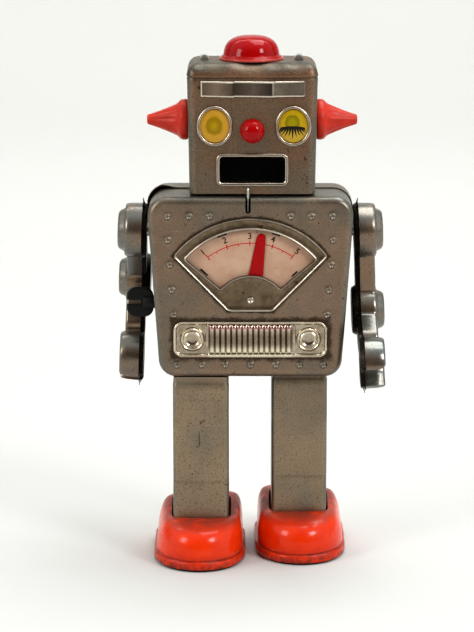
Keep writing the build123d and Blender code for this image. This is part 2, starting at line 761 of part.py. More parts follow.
def leg_hanger(side):
    """Cap of the leg with an upright strap: a crank slot below and a guide slot on top."""
    cap = leg_tube(SHEET + SLIP, LEG_TOP - 2.0, LEG_TOP - 1.0)
    throw = 1.2
    strap = Pos(0, (LEG_TOP - 1.5 + GUIDE_Z) / 2) * Rectangle(2 * HANGER_HALF, GUIDE_Z - LEG_TOP + 1.5)
    strap += Pos(0, GUIDE_Z) * Rectangle(2 * (STEP + 5.5), 6.8)
    crank_slot = Rectangle(2 * (CRANK_PIN + throw), 2 * (STEP + CRANK_PIN + 0.1))
    strap -= Pos(0, CRANK_Z) * fillet(crank_slot.vertices(), 1.2)
    strap -= Pos(0, GUIDE_Z) * SlotOverall(2 * (STEP + 1.6), 2 * (1.25 + SLIP))
    return place_leg(cap + side_prism(strap, HANGER_X, HANGER_X + HANGER_THICKNESS), side)


def place_leg(shape, side):
    """Put a piece drawn for the left leg on its side and at its place in the stride."""
    if side < 0:
        shape = mirror_x(shape)
    return leg_offset(side) * shape


def boot_outline(inset=0.0, toe_back=0.0):
    """Plan of a boot: a broad round toe, straight sides and a rounder heel."""
    half = BOOT_HALF_WIDTH - inset
    toe = BOOT_TOE + inset + toe_back
    heel = BOOT_HEEL - inset
    side_front = -8.0
    side_back = heel - 15.0
    toe_arc = EllipticalCenterArc((0, side_front), half, side_front - toe, 180, arc_size=180)
    heel_arc = EllipticalCenterArc((0, side_back), half, heel - side_back, 0, arc_size=180)
    right = Line(toe_arc @ 1, heel_arc @ 0)
    left = Line(heel_arc @ 1, toe_arc @ 0)
    return Pos(BOOT_X, 0) * make_face(Wire([toe_arc, right, heel_arc, left]))


def boot_solid(inset):
    """The boot's body: it leans in towards the top, most on its outer side, and its rim climbs to the back."""
    sections = [
        Plane.XY.offset(BOOT_RIM + 2.6) * boot_outline(0.9 + inset),
        Plane.XY.offset(14.0) * Pos(-0.7, 0) * boot_outline(2.6 + inset, 0.6),
        Plane.XY.offset(30.0) * Pos(-2.2, 0) * boot_outline(5.6 + inset, 5.4),
    ]
    body = loft(sections)
    top = Polygon(
        (BOOT_TOE - 5, 8.0 - inset),
        (BOOT_TOE + 6, 16.5 - inset),
        (BOOT_TOE + 13, 19.8 - inset),
        (LEG_FRONT - 2, 20.6 - inset),
        (LEG_BACK + 4, 23.6 - inset),
        (BOOT_HEEL - 9, 23.0 - inset),
        (BOOT_HEEL + 5, 15.5 - inset),
        (BOOT_HEEL + 5, 60),
        (BOOT_TOE - 5, 60),
        align=None,
    )
    return body - side_prism(top, -5, 60)


def boot(side):
    """Pressed tin boot, hollow, with a rolled edge round its foot."""
    edge = flat_prism(boot_outline(), BOOT_RIM, BOOT_RIM + 2.6)
    edge = fillet(edge.edges().filter_by(GeomType.LINE, reverse=True).group_by(Axis.Z)[-1], 0.6)
    hollow = flat_prism(boot_outline(SHEET + 0.9), BOOT_RIM - 1, BOOT_RIM + 2.6) + boot_solid(SHEET)
    opening = block(
        LEG_X - LEG_HALF_WIDTH - 0.9, LEG_X + LEG_HALF_WIDTH + 0.9,
        LEG_FRONT - 1.0, LEG_BACK + 2.0, 10, 40,
    )
    return place_leg(edge + boot_solid(0.0) - hollow - opening, side)


def sole_plate(side):
    """Flat steel sole with a window for each roller and a socket frame for the leg."""
    plate = flat_prism(boot_outline(1.6), 0.0, BOOT_RIM)
    for y in ROLLER_PLACES:
        plate -= block(LEG_X - 4.6, LEG_X + 4.6, y - 5.2, y + 5.2, -1, 2)
    socket = leg_tube(0.6, BOOT_RIM, 12.0) - leg_tube(1.4, BOOT_RIM - 1, 13.0)
    return place_leg(plate + socket, side)


def roller_bracket(side):
    """Small cheeks on the sole that hold the roller axles."""
    cheeks = None
    for y in ROLLER_PLACES:
        for x in (LEG_X - 6.0, LEG_X + 5.0):
            cheek = block(x, x + 1.0, y - 2.6, y + 2.6, BOOT_RIM, 7.4)
            cheek -= rod_x(x - 1, x + 2, y, ROLLER_RADIUS, AXLE_RADIUS)
            cheeks = cheek if cheeks is None else cheeks + cheek
        cheeks += rod_x(LEG_X - 6.6, LEG_X + 6.6, y, ROLLER_RADIUS, AXLE_RADIUS)
    return place_leg(cheeks, side)


def sole_roller(side, y):
    """Knurled roller that lets the foot slide forward and bites backward."""
    roller = rod_x(LEG_X - 4.0, LEG_X + 4.0, y, ROLLER_RADIUS, ROLLER_RADIUS)
    roller = fillet(roller.edges(), 0.5)
    return place_leg(roller - rod_x(LEG_X - 5, LEG_X + 5, y, ROLLER_RADIUS, AXLE_RADIUS + SLIP), side)


# ---------------------------------------------------------------- arms
def shoulder_place(side):
    """Frame of an arm: local +X runs out along the shoulder axis, local Z up the arm."""
    return Pos(side * SHOULDER_X, 0, SHOULDER_Z) * Rot(0, side * -ARM_SPLAY, 0)


def arm_points(back):
    """Elbow and hand centres about the shoulder, as y and z, for one swing angle."""
    upper = radians(back)
    fore = radians(back - ARM_BEND)
    elbow = (UPPER_ARM * sin(upper), -UPPER_ARM * cos(upper))
    hand = (elbow[0] + FOREARM * sin(fore), elbow[1] - FOREARM * cos(fore))
    return elbow, hand


def arm_bar(start, end, width):
    """A straight strip between two points of the arm."""
    lean = degrees(atan2(end[1] - start[1], end[0] - start[0]))
    length = ((end[0] - start[0]) ** 2 + (end[1] - start[1]) ** 2) ** 0.5
    middle = Pos((start[0] + end[0]) / 2, (start[1] + end[1]) / 2)
    return middle * Rot(0, 0, lean) * Rectangle(length, width)


def arm_outline(back):
    """Side view of the bent arm: three discs, two bars and the mouth of the claw."""
    elbow, hand = arm_points(back)
    outline = Circle(SHOULDER_DISC)
    outline += Pos(*elbow) * Circle(ELBOW_DISC)
    outline += arm_bar((0, 0), elbow, 13.0)
    outline += arm_bar(elbow, (hand[0] * 0.7 + elbow[0] * 0.3, hand[1] * 0.7 + elbow[1] * 0.3), 12.0)
    return outline + claw(hand, back - ARM_BEND)


def claw(place, lean, inset=0.0):
    """C-shaped hand, open away from the elbow."""
    mouth = Rectangle(9.0 + 2 * inset, 12.0) + Pos(0, 6.0) * Circle(4.5 + inset)
    hand = Circle(HAND_DISC - inset) - Pos(0, -9.5) * mouth
    return Pos(*place) * Rot(0, 0, lean) * hand


def arm_outer(back):
    """Outer half of the arm: a deep pan with a round boss on each joint."""
    elbow, hand = arm_points(back)
    outline = arm_outline(back)
    body = side_prism(outline, 0.0, ARM_DEPTH)
    joints = (
        ((0, 0), SHOULDER_DISC, ARM_DEPTH + 0.8, 11.0),
        (elbow, ELBOW_DISC, ARM_DEPTH + 0.5, 10.9),
    )
    for place, radius, disc_top, boss_top in joints:
        body += side_prism(Pos(*place) * Circle(radius - 0.4), ARM_DEPTH - 1, disc_top)
        boss = side_prism(Pos(*place) * Circle(radius * 0.78), disc_top - 1, boss_top)
        body += chamfer(boss.edges().group_by(Axis.X)[-1], 1.3)
    body += side_prism(claw(hand, back - ARM_BEND, 0.4), ARM_DEPTH - 1, 9.0)
    body -= side_prism(offset(outline, -SHEET), -1.0, ARM_DEPTH - SHEET)
    return body - rod_x(-2, ARM_DEPTH - SHEET, 0, 0, SHOULDER_PIN)


def arm_inner(back):
    """Inner half of the arm: a shallow pan with the flange that clamps both halves."""
    outline = arm_outline(back)
    body = side_prism(outline, -2.1, -0.5)
    body -= side_prism(offset(outline, -SHEET), -2.1 + SHEET, 0.5)
    flange = offset(outline, 0.9) - offset(outline, -1.2)
    body += side_prism(flange, -0.6, 0.0)
    elbow, hand = arm_points(back)
    disc = side_prism(Pos(*elbow) * Circle(ELBOW_DISC - 0.4), -4.0, -2.0)
    body += chamfer(disc.edges().group_by(Axis.X)[0], 0.8)
    for (y, z), radius, lean in (((0, 0), SHOULDER_DISC, 180), (hand, HAND_DISC, 0)):
        tab = Polygon((-2.5, 0.6), (-0.8, -3.0), (0.8, -3.0), (2.5, 0.6), align=None)
        body += side_prism(Pos(y, z) * Rot(0, 0, lean) * Pos(3.6, -radius) * tab, -0.6, 0.0)
    return body - rod_x(-4, 2, 0, 0, SHOULDER_PIN)


def shoulder_pin():
    """Pin fixed in the arm that turns in the trunk's side wall, with a collar inside."""
    pin = rod_x(-7.0, ARM_DEPTH - SHEET - SLIP, 0, 0, SHOULDER_PIN)
    return pin + rod_x(-7.0, -6.0, 0, 0, 4.2)


def place_arm(shape, side):
    """Put a piece drawn about the shoulder axis on its side of the trunk."""
    placed = shoulder_place(1) * shape
    return placed if side > 0 else mirror_x(placed)


def all_pieces():
    """Every node of the robot by name."""
    pieces = {
        "torso_front_shell": trunk_front_shell(),
        "torso_back_shell": trunk_back_shell(),
        "dial_bezel": dial_bezel(),
        "dial_rivet": dial_rivet(),
        "dial_card": dial_card(),
        "needle_pivot": needle_pivot(),
        "needle": needle(),
        "grille_plate": grille_plate(),
        "head_shell": head_shell(),
        "head_lid": head_lid(),
        "lid_tabs": lid_tabs(),
        "head_dome": head_dome(),
        "nose_button": nose_button(),
        "mouth_frame": mouth_frame(),
        "mouth_liner": mouth_liner(),
        "forehead_plate": forehead_plate(),
        "nod_wire": nod_wire(),
        "neck_bracket": neck_bracket(),
        "neck_pin": neck_pin(),
        "motor_pillars": motor_pillars(),
        "leg_guides": leg_guides(),
        "mainspring": mainspring(),
        "winding_arbor": winding_arbor(),
        "ratchet_wheel": ratchet_wheel(),
        "winding_key": winding_key(),
        "great_wheel": great_wheel(),
        "crankshaft": crankshaft(),
        "crank_wheel": crank_wheel(),
        "star_arbor": star_arbor(),
        "star_wheel": star_wheel(),
        "pallet": pallet(),
        "nod_lever": nod_lever(),
    }
    swings = {-1: RIGHT_ARM_BACK, 1: LEFT_ARM_BACK}
    for side, name in ((-1, "right"), (1, "left")):
        swing = swings[side]
        pieces[f"eye_bezel_{name}"] = eye_bezel(EYE_PLACES[side > 0])
        pieces[f"eye_lens_{name}"] = eye_lens(EYE_PLACES[side > 0])
        pieces[f"ear_cone_{name}"] = ear_cone(side)
        pieces[f"motor_plate_{name}"] = motor_plate(side)
        pieces[f"leg_column_{name}"] = leg_column(side)
        pieces[f"leg_hanger_{name}"] = leg_hanger(side)
        pieces[f"boot_{name}"] = boot(side)
        pieces[f"sole_plate_{name}"] = sole_plate(side)
        pieces[f"roller_bracket_{name}"] = roller_bracket(side)
        pieces[f"front_roller_{name}"] = sole_roller(side, ROLLER_PLACES[0])
        pieces[f"rear_roller_{name}"] = sole_roller(side, ROLLER_PLACES[1])
        pieces[f"arm_outer_{name}"] = place_arm(arm_outer(swing), side)
        pieces[f"arm_inner_{name}"] = place_arm(arm_inner(swing), side)
        pieces[f"shoulder_pin_{name}"] = place_arm(shoulder_pin(), side)
    return pieces


os.makedirs("parts", exist_ok=True)
for piece_name, piece in all_pieces().items():
    export_step(piece, f"parts/{piece_name}.step")
    print(piece_name, round(piece.volume, 1))
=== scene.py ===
import json
import math

import bmesh
import bpy
import numpy as np
from mathutils import Euler, Matrix, Vector, noise
from mathutils.geometry import delaunay_2d_cdt


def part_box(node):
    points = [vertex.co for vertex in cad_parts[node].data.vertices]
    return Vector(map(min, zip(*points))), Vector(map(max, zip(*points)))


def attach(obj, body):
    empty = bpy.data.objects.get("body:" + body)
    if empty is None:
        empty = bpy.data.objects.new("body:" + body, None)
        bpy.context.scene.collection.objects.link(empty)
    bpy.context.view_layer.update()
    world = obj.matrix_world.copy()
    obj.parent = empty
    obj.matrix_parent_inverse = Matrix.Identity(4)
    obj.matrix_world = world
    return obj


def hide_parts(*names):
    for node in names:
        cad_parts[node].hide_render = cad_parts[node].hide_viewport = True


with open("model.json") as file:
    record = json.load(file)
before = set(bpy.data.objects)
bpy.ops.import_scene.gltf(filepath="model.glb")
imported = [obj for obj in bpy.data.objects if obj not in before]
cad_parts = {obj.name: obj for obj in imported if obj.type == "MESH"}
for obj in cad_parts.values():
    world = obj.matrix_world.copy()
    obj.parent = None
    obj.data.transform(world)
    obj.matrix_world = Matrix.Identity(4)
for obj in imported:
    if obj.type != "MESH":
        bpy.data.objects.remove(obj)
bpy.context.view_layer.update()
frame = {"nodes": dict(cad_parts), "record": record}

# Looks of the clockwork tin robot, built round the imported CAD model.
# Shapes are worked out in millimetres and turned into metres when a mesh is made.
MM = 0.001

# Blender's noise starts from the clock unless it is seeded, and the tin has to be the same each run.
WOBBLE_SEED = 1794837922
noise.seed_set(WOBBLE_SEED)


def node_box(node):
    """Lowest and highest corner of a CAD node, in millimetres."""
    low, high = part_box(node)
    return low / MM, high / MM


# ---------------------------------------------------------------- sizes
SHELL_LOW, SHELL_HIGH = node_box("torso_front_shell")
BACK_LOW, BACK_HIGH = node_box("torso_back_shell")
HEAD_LOW, HEAD_HIGH = node_box("head_shell")
LID_LOW, LID_HIGH = node_box("head_lid")
DOME_LOW, DOME_HIGH = node_box("head_dome")
NOSE_LOW, NOSE_HIGH = node_box("nose_button")
MOUTH_LOW, MOUTH_HIGH = node_box("mouth_frame")
BROW_LOW, BROW_HIGH = node_box("forehead_plate")
BEZEL_LOW, BEZEL_HIGH = node_box("dial_bezel")
CARD_LOW = node_box("dial_card")[0]
GRILLE_LOW, GRILLE_HIGH = node_box("grille_plate")

SHEET = 0.5                  # tinplate
TRUNK_TOP = SHELL_HIGH.z
TRUNK_BOTTOM = SHELL_LOW.z
TRUNK_TOP_HALF = 47.1        # half width at the top corners, before rounding
TRUNK_BOTTOM_HALF = 41.2
TRUNK_RADII = (8.5, 8.0, 8.0, 8.5)
TRUNK_EDGE = 3.0             # rounding of the front and rear edges
CHEST_Y = -21.0
DIAL_Z = 116.7               # centre of the dial's arcs and of the needle
RIVET_Z = 123.1
FAN_CORNER = (35.3, 143.2)   # upper corner of the bezel's fan
FAN_FOOT = 10.2              # half width of the fan's foot
WINDOW_RADIUS = 38.5
COVER_RADIUS = 17.9
WINDOW_HALF_ANGLE = 49.3
NEEDLE_ANGLE = 8.0
NEEDLE_REACH = 34.9          # pivot to the centre of the round tip
SCALE_RADIUS = 32.0
SCALE_WIDTH = 0.4
INK = 0.03                   # height of printing over the card
HEAD_X = (HEAD_LOW.x + HEAD_HIGH.x) / 2
HEAD_FRONT = HEAD_LOW.y
HEAD_TOP_HALF = (HEAD_HIGH.x - HEAD_LOW.x) / 2
HEAD_TAPER = 1.0
HEAD_CORNER = 3.9
LID_RADIUS = 5.6
EYE_Z = 202.0
EYES = {"right": -16.1, "left": 19.1}
EYE_PICTURE = (13.1, 14.8)   # width and height
EAR_Z = 202.6
NECK_Y, NECK_Z = 15.0, 177.0
WIRE_X, WIRE_Z = -1.15, 173.9
ARBOR_Z = 118.0
LEG_X = 22.65
LEG_HALF_WIDTH = 12.8
LEG_FRONT, LEG_BACK = -14.0, 13.0
STRIDE = 5.5                 # each foot stands this far from mid stride
BOOT_X = 23.4
BOOT_HALF = 21.2
BOOT_TOE, BOOT_HEEL = -34.5, 36.6
SHOULDER = Vector((49.6, 0.0, 151.5))
ARM_SPLAY = 2.0
UPPER_ARM = 38.0
FOREARM = 37.5
ARM_BEND = 66.0
ARM_DISCS = (12.6, 11.8, 11.8)                # shoulder, elbow and hand
ARM_SWINGS = {"right": 44.5, "left": 4.0}     # degrees behind straight down
SIDES = {"right": -1, "left": 1}
KEY_ROOT = -44.6             # x where the key's wings meet its stem
AHEAD = Vector((0, -1, 0))
FRONT = Matrix(((1, 0, 0, 0), (0, 0, 1, 0), (0, 1, 0, 0), (0, 0, 0, 1)))   # local X, Y, Z -> X, Z, Y
SIDE = Matrix(((0, 0, 1, 0), (1, 0, 0, 0), (0, 1, 0, 0), (0, 0, 0, 1)))    # local X, Y, Z -> Y, Z, X


# ---------------------------------------------------------------- outlines
def smoothstep(value):
    value = min(max(value, 0.0), 1.0)
    return value * value * (3 - 2 * value)


def interpolate(table, value):
    """Piecewise linear look-up in a table of (value, result)."""
    return float(np.interp(value, [row[0] for row in table], [row[1] for row in table]))


def edge_lines(table):
    """The distances inside an outline at which a relief given as (distance, height) bends."""
    return [-row[0] for row in table]


def arc_points(centre, radius, start, end, steps):
    """Points on an arc, angles in degrees, both ends included."""
    angles = [math.radians(start + (end - start) * step / steps) for step in range(steps + 1)]
    return [(centre[0] + radius * math.cos(a), centre[1] + radius * math.sin(a)) for a in angles]


def rounded_outline(corners, radii, inset=0.0, run=1.6, steps=8, least=0.3):
    """Closed outline with round corners, counter-clockwise, moved inwards by the inset.

    The number of points doesn't depend on the inset, so outlines can be skinned together."""
    count = len(corners)
    corners = [Vector(corner) for corner in corners]
    arcs = []
    for index in range(count):
        before, here, after = (corners[(index + step) % count] for step in (-1, 0, 1))
        first = (here - before).normalized()
        second = (after - here).normalized()
        normal_in = Vector((-first.y, first.x))
        normal_out = Vector((-second.y, second.x))
        miter = (normal_in + normal_out) / (1 + normal_in.dot(normal_out))
        radius = max(radii[index] - inset, least)
        centre = here + miter * (inset + radius)
        start = math.degrees(math.atan2(-normal_in.y, -normal_in.x))
        end = math.degrees(math.atan2(-normal_out.y, -normal_out.x))
        if end < start:
            end += 360
        arcs.append(arc_points(centre, radius, start, end, steps))
    points = []
    for index in range(count):
        following = arcs[(index + 1) % count]
        side = (corners[(index + 1) % count] - corners[index]).length
        runs = max(int(side / run), 1)
        points += arcs[index]
        start, end = Vector(arcs[index][-1]), Vector(following[0])
        points += [tuple(start.lerp(end, step / runs)) for step in range(1, runs)]
    return points


def rectangle(x0, x1, z0, z1):
    return [(x0, z0), (x1, z0), (x1, z1), (x0, z1)]


def circle_points(centre, radius, steps=24):
    return arc_points(centre, radius, 0, 360, steps)[:-1]


def oval_points(centre, width, height, steps=64):
    return [
        (centre[0] + width / 2 * math.cos(a), centre[1] + height / 2 * math.sin(a))
        for a in (2 * math.pi * step / steps for step in range(steps))
    ]


# ---------------------------------------------------------------- meshes
class Form:
    """Points and faces of one piece, in millimetres."""

    def __init__(self):
        self.points = []
        self.faces = []

    def add(self, points, faces):
        start = len(self.points)
        self.points += [Vector(point) for point in points]
        self.faces += [tuple(start + index for index in face) for face in faces]
        return self

    def skin(self, rings, closed=True):
        """Quads between rings that have the same number of points."""
        count = len(rings[0])
        last = count if closed else count - 1
        faces = []
        for level in range(len(rings) - 1):
            low = level * count
            for index in range(last):
                after = (index + 1) % count
                faces.append((low + index, low + after, low + count + after, low + count + index))
        return self.add([point for ring in rings for point in ring], faces)

    def cap(self, ring):
        return self.add(ring, [tuple(range(len(ring)))])

    def lathe(self, profile, place, steps=64, flutes=None):
        """Turn a profile of (radius, height) about the place's local Z."""
        rings = []
        for radius, height in profile:
            ring = []
            for step in range(steps):
                angle = 2 * math.pi * step / steps
                reach = radius * (flutes(angle, height) if flutes else 1.0)
                ring.append(place @ Vector((reach * math.cos(angle), reach * math.sin(angle), height)))
            rings.append(ring)
        return self.skin(rings)

    def wobble(self, amount, size):
        """Uneven hand-worn tin: every point moves a little, by a smooth noise."""
        for point in self.points:
            point += noise.noise_vector(point / size) * amount
        return self


def facing_out(x, z, y):
    """A place on a front face at a depth y, whose local Z points out of it."""
    return Matrix.Translation((x, y, z)) @ Matrix.Rotation(math.radians(90), 4, "X")


def inside_mask(points, loop):
    """Which points lie inside a closed loop."""
    loop = np.array(loop, float)
    x, z = points[:, 0][:, None], points[:, 1][:, None]
    x0, z0 = loop[:, 0], loop[:, 1]
    x1, z1 = np.roll(x0, -1), np.roll(z0, -1)
    crosses = (z0 > z) != (z1 > z)
    with np.errstate(divide="ignore", invalid="ignore"):
        at = (x1 - x0) * (z - z0) / (z1 - z0) + x0
    return (np.logical_and(crosses, x < at).sum(axis=1) % 2) == 1


def triangulate(points, edges):
    """Triangles over points that keep to the edges: the points, the triangles and their middles."""
    found = delaunay_2d_cdt([Vector(p) for p in points], edges, [], 0, 1e-5)
    points = [tuple(v) for v in found[0]]
    triangles = [tuple(f) for f in found[2]]
    middles = np.array([[sum(points[i][k] for i in t) / 3 for k in (0, 1)] for t in triangles])
    return points, triangles, middles


def loop_edges(start, count):
    return [(start + index, start + (index + 1) % count) for index in range(count)]


def fill(border, holes=(), circles=(), spacing=1.6):
    """Triangles inside a border, round its holes, and through circles of (centre, radii)."""
    points, edges = [], []
    for loop in (border, *holes):
        edges += loop_edges(len(points), len(loop))
        points += list(loop)
    for centre, radii in circles:
        for radius in radii:
            ring = circle_points(centre, radius, 20)
            edges += loop_edges(len(points), len(ring))
            points += ring
        points.append(centre)
    outline = np.array(border, float)
    low, high = outline.min(0), outline.max(0)
    lattice = np.array(
        [
            (x, z)
            for z in np.arange(low[1] + spacing / 2, high[1], spacing)
            for x in np.arange(low[0] + spacing / 2, high[0], spacing)
        ]
    )
    keep = inside_mask(lattice, border)
    for hole in holes:
        keep &= ~inside_mask(lattice, hole)
    for centre, radii in circles:
        keep &= np.hypot(lattice[:, 0] - centre[0], lattice[:, 1] - centre[1]) > max(radii) + spacing / 3
    for loop in (border, *holes):
        edge = np.array(loop, float)
        near = np.min(np.hypot(lattice[:, :1] - edge[:, 0], lattice[:, 1:] - edge[:, 1]), axis=1)
        keep &= near > spacing * 0.45
    points += [tuple(p) for p in lattice[keep]]
    points, triangles, middles = triangulate(points, edges)
    wanted = inside_mask(middles, border)
    for hole in holes:
        wanted &= ~inside_mask(middles, hole)
    return points, [t for t, ok in zip(triangles, wanted) if ok]


CELL_SIDES = {
    1: ["LB"], 2: ["BR"], 3: ["LR"], 4: ["RT"], 5: ["LT", "BR"], 6: ["BT"], 7: ["LT"],
    8: ["LT"], 9: ["BT"], 10: ["LB", "RT"], 11: ["RT"], 12: ["LR"], 13: ["BR"], 14: ["LB"],
}


def contour(values, xs, zs, level):
    """Points and edges of the line where a field on a grid crosses a level."""
    low = values < level
    index = low[:-1, :-1] * 1 + low[1:, :-1] * 2 + low[1:, 1:] * 4 + low[:-1, 1:] * 8
    points, edges, known = [], [], {}

    def crossing(i, j, side):
        ends = {
            "B": ((i, j), (i + 1, j)), "T": ((i, j + 1), (i + 1, j + 1)),
            "L": ((i, j), (i, j + 1)), "R": ((i + 1, j), (i + 1, j + 1)),
        }[side]
        if ends not in known:
            (a, b), (c, d) = ends
            share = (level - values[a, b]) / (values[c, d] - values[a, b])
            share = min(max(share, 0.02), 0.98)
            known[ends] = len(points)
            points.append((xs[a] + (xs[c] - xs[a]) * share, zs[b] + (zs[d] - zs[b]) * share))
        return known[ends]

    for i, j in np.argwhere((index > 0) & (index < 15)):
        for pair in CELL_SIDES[int(index[i, j])]:
            edges.append((crossing(i, j, pair[0]), crossing(i, j, pair[1])))
    return points, edges


def pressing(distance, box, levels, height, circles=(), spacing=1.6, cell=0.4, lattice=None):
    """A pressed sheet over a flat outline.

    distance(x, z) is negative inside the outline. box is (x0, x1, z0, z1) round it. levels are the
    distances at which the relief bends, the highest of them being the edge. height(d, x, z) is the
    relief. circles are (centre, radii) that the mesh follows. Gives points as (x, z, height) and
    triangles."""
    x0, x1, z0, z1 = box
    xs = np.arange(x0, x1 + cell, cell)
    zs = np.arange(z0, z1 + cell, cell)
    values = distance(*np.meshgrid(xs, zs, indexing="ij"))
    points, edges = [], []
    for level in levels:
        line, links = contour(values, xs, zs, level)
        edges += [(a + len(points), b + len(points)) for a, b in links]
        points += line
    for centre, radii in circles:
        for radius in radii:
            ring = circle_points(centre, radius, 40)
            depths = [distance(np.array(p[0]), np.array(p[1])) for p in ring]
            if max(depths) > min(levels):
                points += [p for p, depth in zip(ring, depths) if depth < min(levels) - 0.1]
            else:
                edges += loop_edges(len(points), len(ring))
                points += ring
    step_x, step_z = lattice or (spacing, spacing)
    grid_x, grid_z = np.meshgrid(np.arange(x0, x1, step_x), np.arange(z0, z1, step_z), indexing="ij")
    flat = np.stack([grid_x.ravel(), grid_z.ravel()], axis=1)
    keep = distance(flat[:, 0], flat[:, 1]) < min(levels) - 0.4 * min(step_x, step_z)
    for centre, radii in circles:
        away = np.hypot(flat[:, 0] - centre[0], flat[:, 1] - centre[1])
        for radius in radii:
            keep &= np.abs(away - radius) > 0.3 * spacing
    points += [tuple(p) for p in flat[keep]]
    points, triangles, middles = triangulate(points, edges)
    wanted = distance(middles[:, 0], middles[:, 1]) < max(levels) - 1e-4
    flat = np.array(points)
    depth = distance(flat[:, 0], flat[:, 1])
    solid = [(x, z, height(d, x, z)) for (x, z), d in zip(points, depth)]
    return solid, [t for t, ok in zip(triangles, wanted) if ok]


def box_round(low, high, margin=1.0):
    """The box (x0, x1, z0, z1) of a node with a margin, as seen from the front."""
    return low.x - margin, high.x + margin, low.z - margin, high.z + margin


def disc_distance(x, z, centre, radius):
    return np.hypot(x - centre[0], z - centre[1]) - radius


def bar_distance(x, z, start, end, half):
    """Distance to a strip with round ends."""
    ax, az = start
    dx, dz = end[0] - ax, end[1] - az
    share = np.clip(((x - ax) * dx + (z - az) * dz) / (dx * dx + dz * dz), 0, 1)
    return np.hypot(x - ax - share * dx, z - az - share * dz) - half


def box_distance(x, z, centre, width, height, radius):
    """Distance to a rectangle with round corners."""
    dx = np.abs(x - centre[0]) - (width / 2 - radius)
    dz = np.abs(z - centre[1]) - (height / 2 - radius)
    outside = np.hypot(np.maximum(dx, 0), np.maximum(dz, 0))
    return outside + np.minimum(np.maximum(dx, dz), 0) - radius


def corner_distance(parts, radius):
    """Distance to the shape inside several sides, with its corners rounded."""
    parts = [part + radius for part in parts]
    outside = np.sqrt(sum(np.maximum(part, 0) ** 2 for part in parts))
    return outside + np.minimum(np.maximum.reduce(parts), 0) - radius


def soft_union(a, b, blend):
    share = np.clip(0.5 + 0.5 * (b - a) / blend, 0, 1)
    return b * (1 - share) + a * share - blend * share * (1 - share)


def prism(outline, place, depth0, depth1):
    """A closed bar for cutting: an outline in the place's local X and Y, between two heights."""
    low, high = ([place @ Vector((x, z, depth)) for x, z in outline] for depth in (depth0, depth1))
    return Form().skin([low, high]).cap(low).cap(high)


def turn_out(work, front):
    """Turn the faces of each separate sheet outwards: to the front, or else away from its middle."""
    left = set(work.faces)
    while left:
        waiting, sheet = [left.pop()], []
        while waiting:
            face = waiting.pop()
            sheet.append(face)
            beside = {other for edge in face.edges for other in edge.link_faces if other in left}
            left -= beside
            waiting += beside
        middle = sum((face.calc_center_median() for face in sheet), Vector()) / len(sheet)
        outward = 0.0
        for face in sheet:
            outward += face.calc_area() * face.normal.dot(front or face.calc_center_median() - middle)
        if outward < 0:
            bmesh.ops.reverse_faces(work, faces=sheet)


def to_mesh(form, name, front=None):
    """Mesh in metres, joined where its parts meet, with its faces turned outwards."""
    mesh = bpy.data.meshes.new(name)
    mesh.from_pydata([point * MM for point in form.points], [], form.faces)
    work = bmesh.new()
    work.from_mesh(mesh)
    bmesh.ops.remove_doubles(work, verts=work.verts, dist=2e-6)
    bmesh.ops.dissolve_degenerate(work, edges=work.edges, dist=1e-7)
    bmesh.ops.recalc_face_normals(work, faces=work.faces)
    turn_out(work, front)
    work.to_mesh(mesh)
    work.free()
    mesh.update()
    return mesh


def shade(mesh, sharp):
    """Smooth faces, with a hard edge wherever two faces meet at more than the angle."""
    work = bmesh.new()
    work.from_mesh(mesh)
    limit = math.radians(sharp)
    for face in work.faces:
        face.smooth = True
    for edge in work.edges:
        edge.smooth = len(edge.link_faces) == 2 and edge.calc_face_angle(0.0) < limit
    work.to_mesh(mesh)
    work.free()


def put_in_scene(name, data):
    thing = bpy.data.objects.new(name, data)
    bpy.context.scene.collection.objects.link(thing)
    return thing


def settled_mesh(piece):
    """The mesh that a piece has once its modifiers have worked."""
    bpy.context.view_layer.update()
    return bpy.data.meshes.new_from_object(piece.evaluated_get(bpy.context.evaluated_depsgraph_get()))


def make(name, form, material, body, nodes=(), wall=0.0, sharp=38.0, cutters=(), front=None):
    """One visible piece that rides on a body and may stand for CAD nodes. The wall grows inwards."""
    piece = put_in_scene(name, to_mesh(form, name, front))
    if wall:
        thick = piece.modifiers.new("wall", "SOLIDIFY")
        thick.thickness = wall * MM
        thick.offset = -1
    cutting = []
    for number, cutter in enumerate(cutters):
        cut = piece.modifiers.new("cut", "BOOLEAN")
        cut.operation = "DIFFERENCE"
        cut.solver = "EXACT"
        cut.object = put_in_scene(f"{name}_cutter_{number}", to_mesh(cutter, "cutter"))
        cutting.append(cut.object)
    if wall or cutting:
        piece.data = settled_mesh(piece)
        piece.data.name = name
        piece.modifiers.clear()
    for cutter in cutting:
        bpy.data.objects.remove(cutter)
    shade(piece.data, sharp)
    return finish_piece(piece, material, body, nodes)


def finish_piece(piece, material, body, nodes=()):
    piece.data.materials.clear()
    piece.data.materials.append(material)
    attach(piece, body)
    if nodes:
        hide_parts(*nodes)


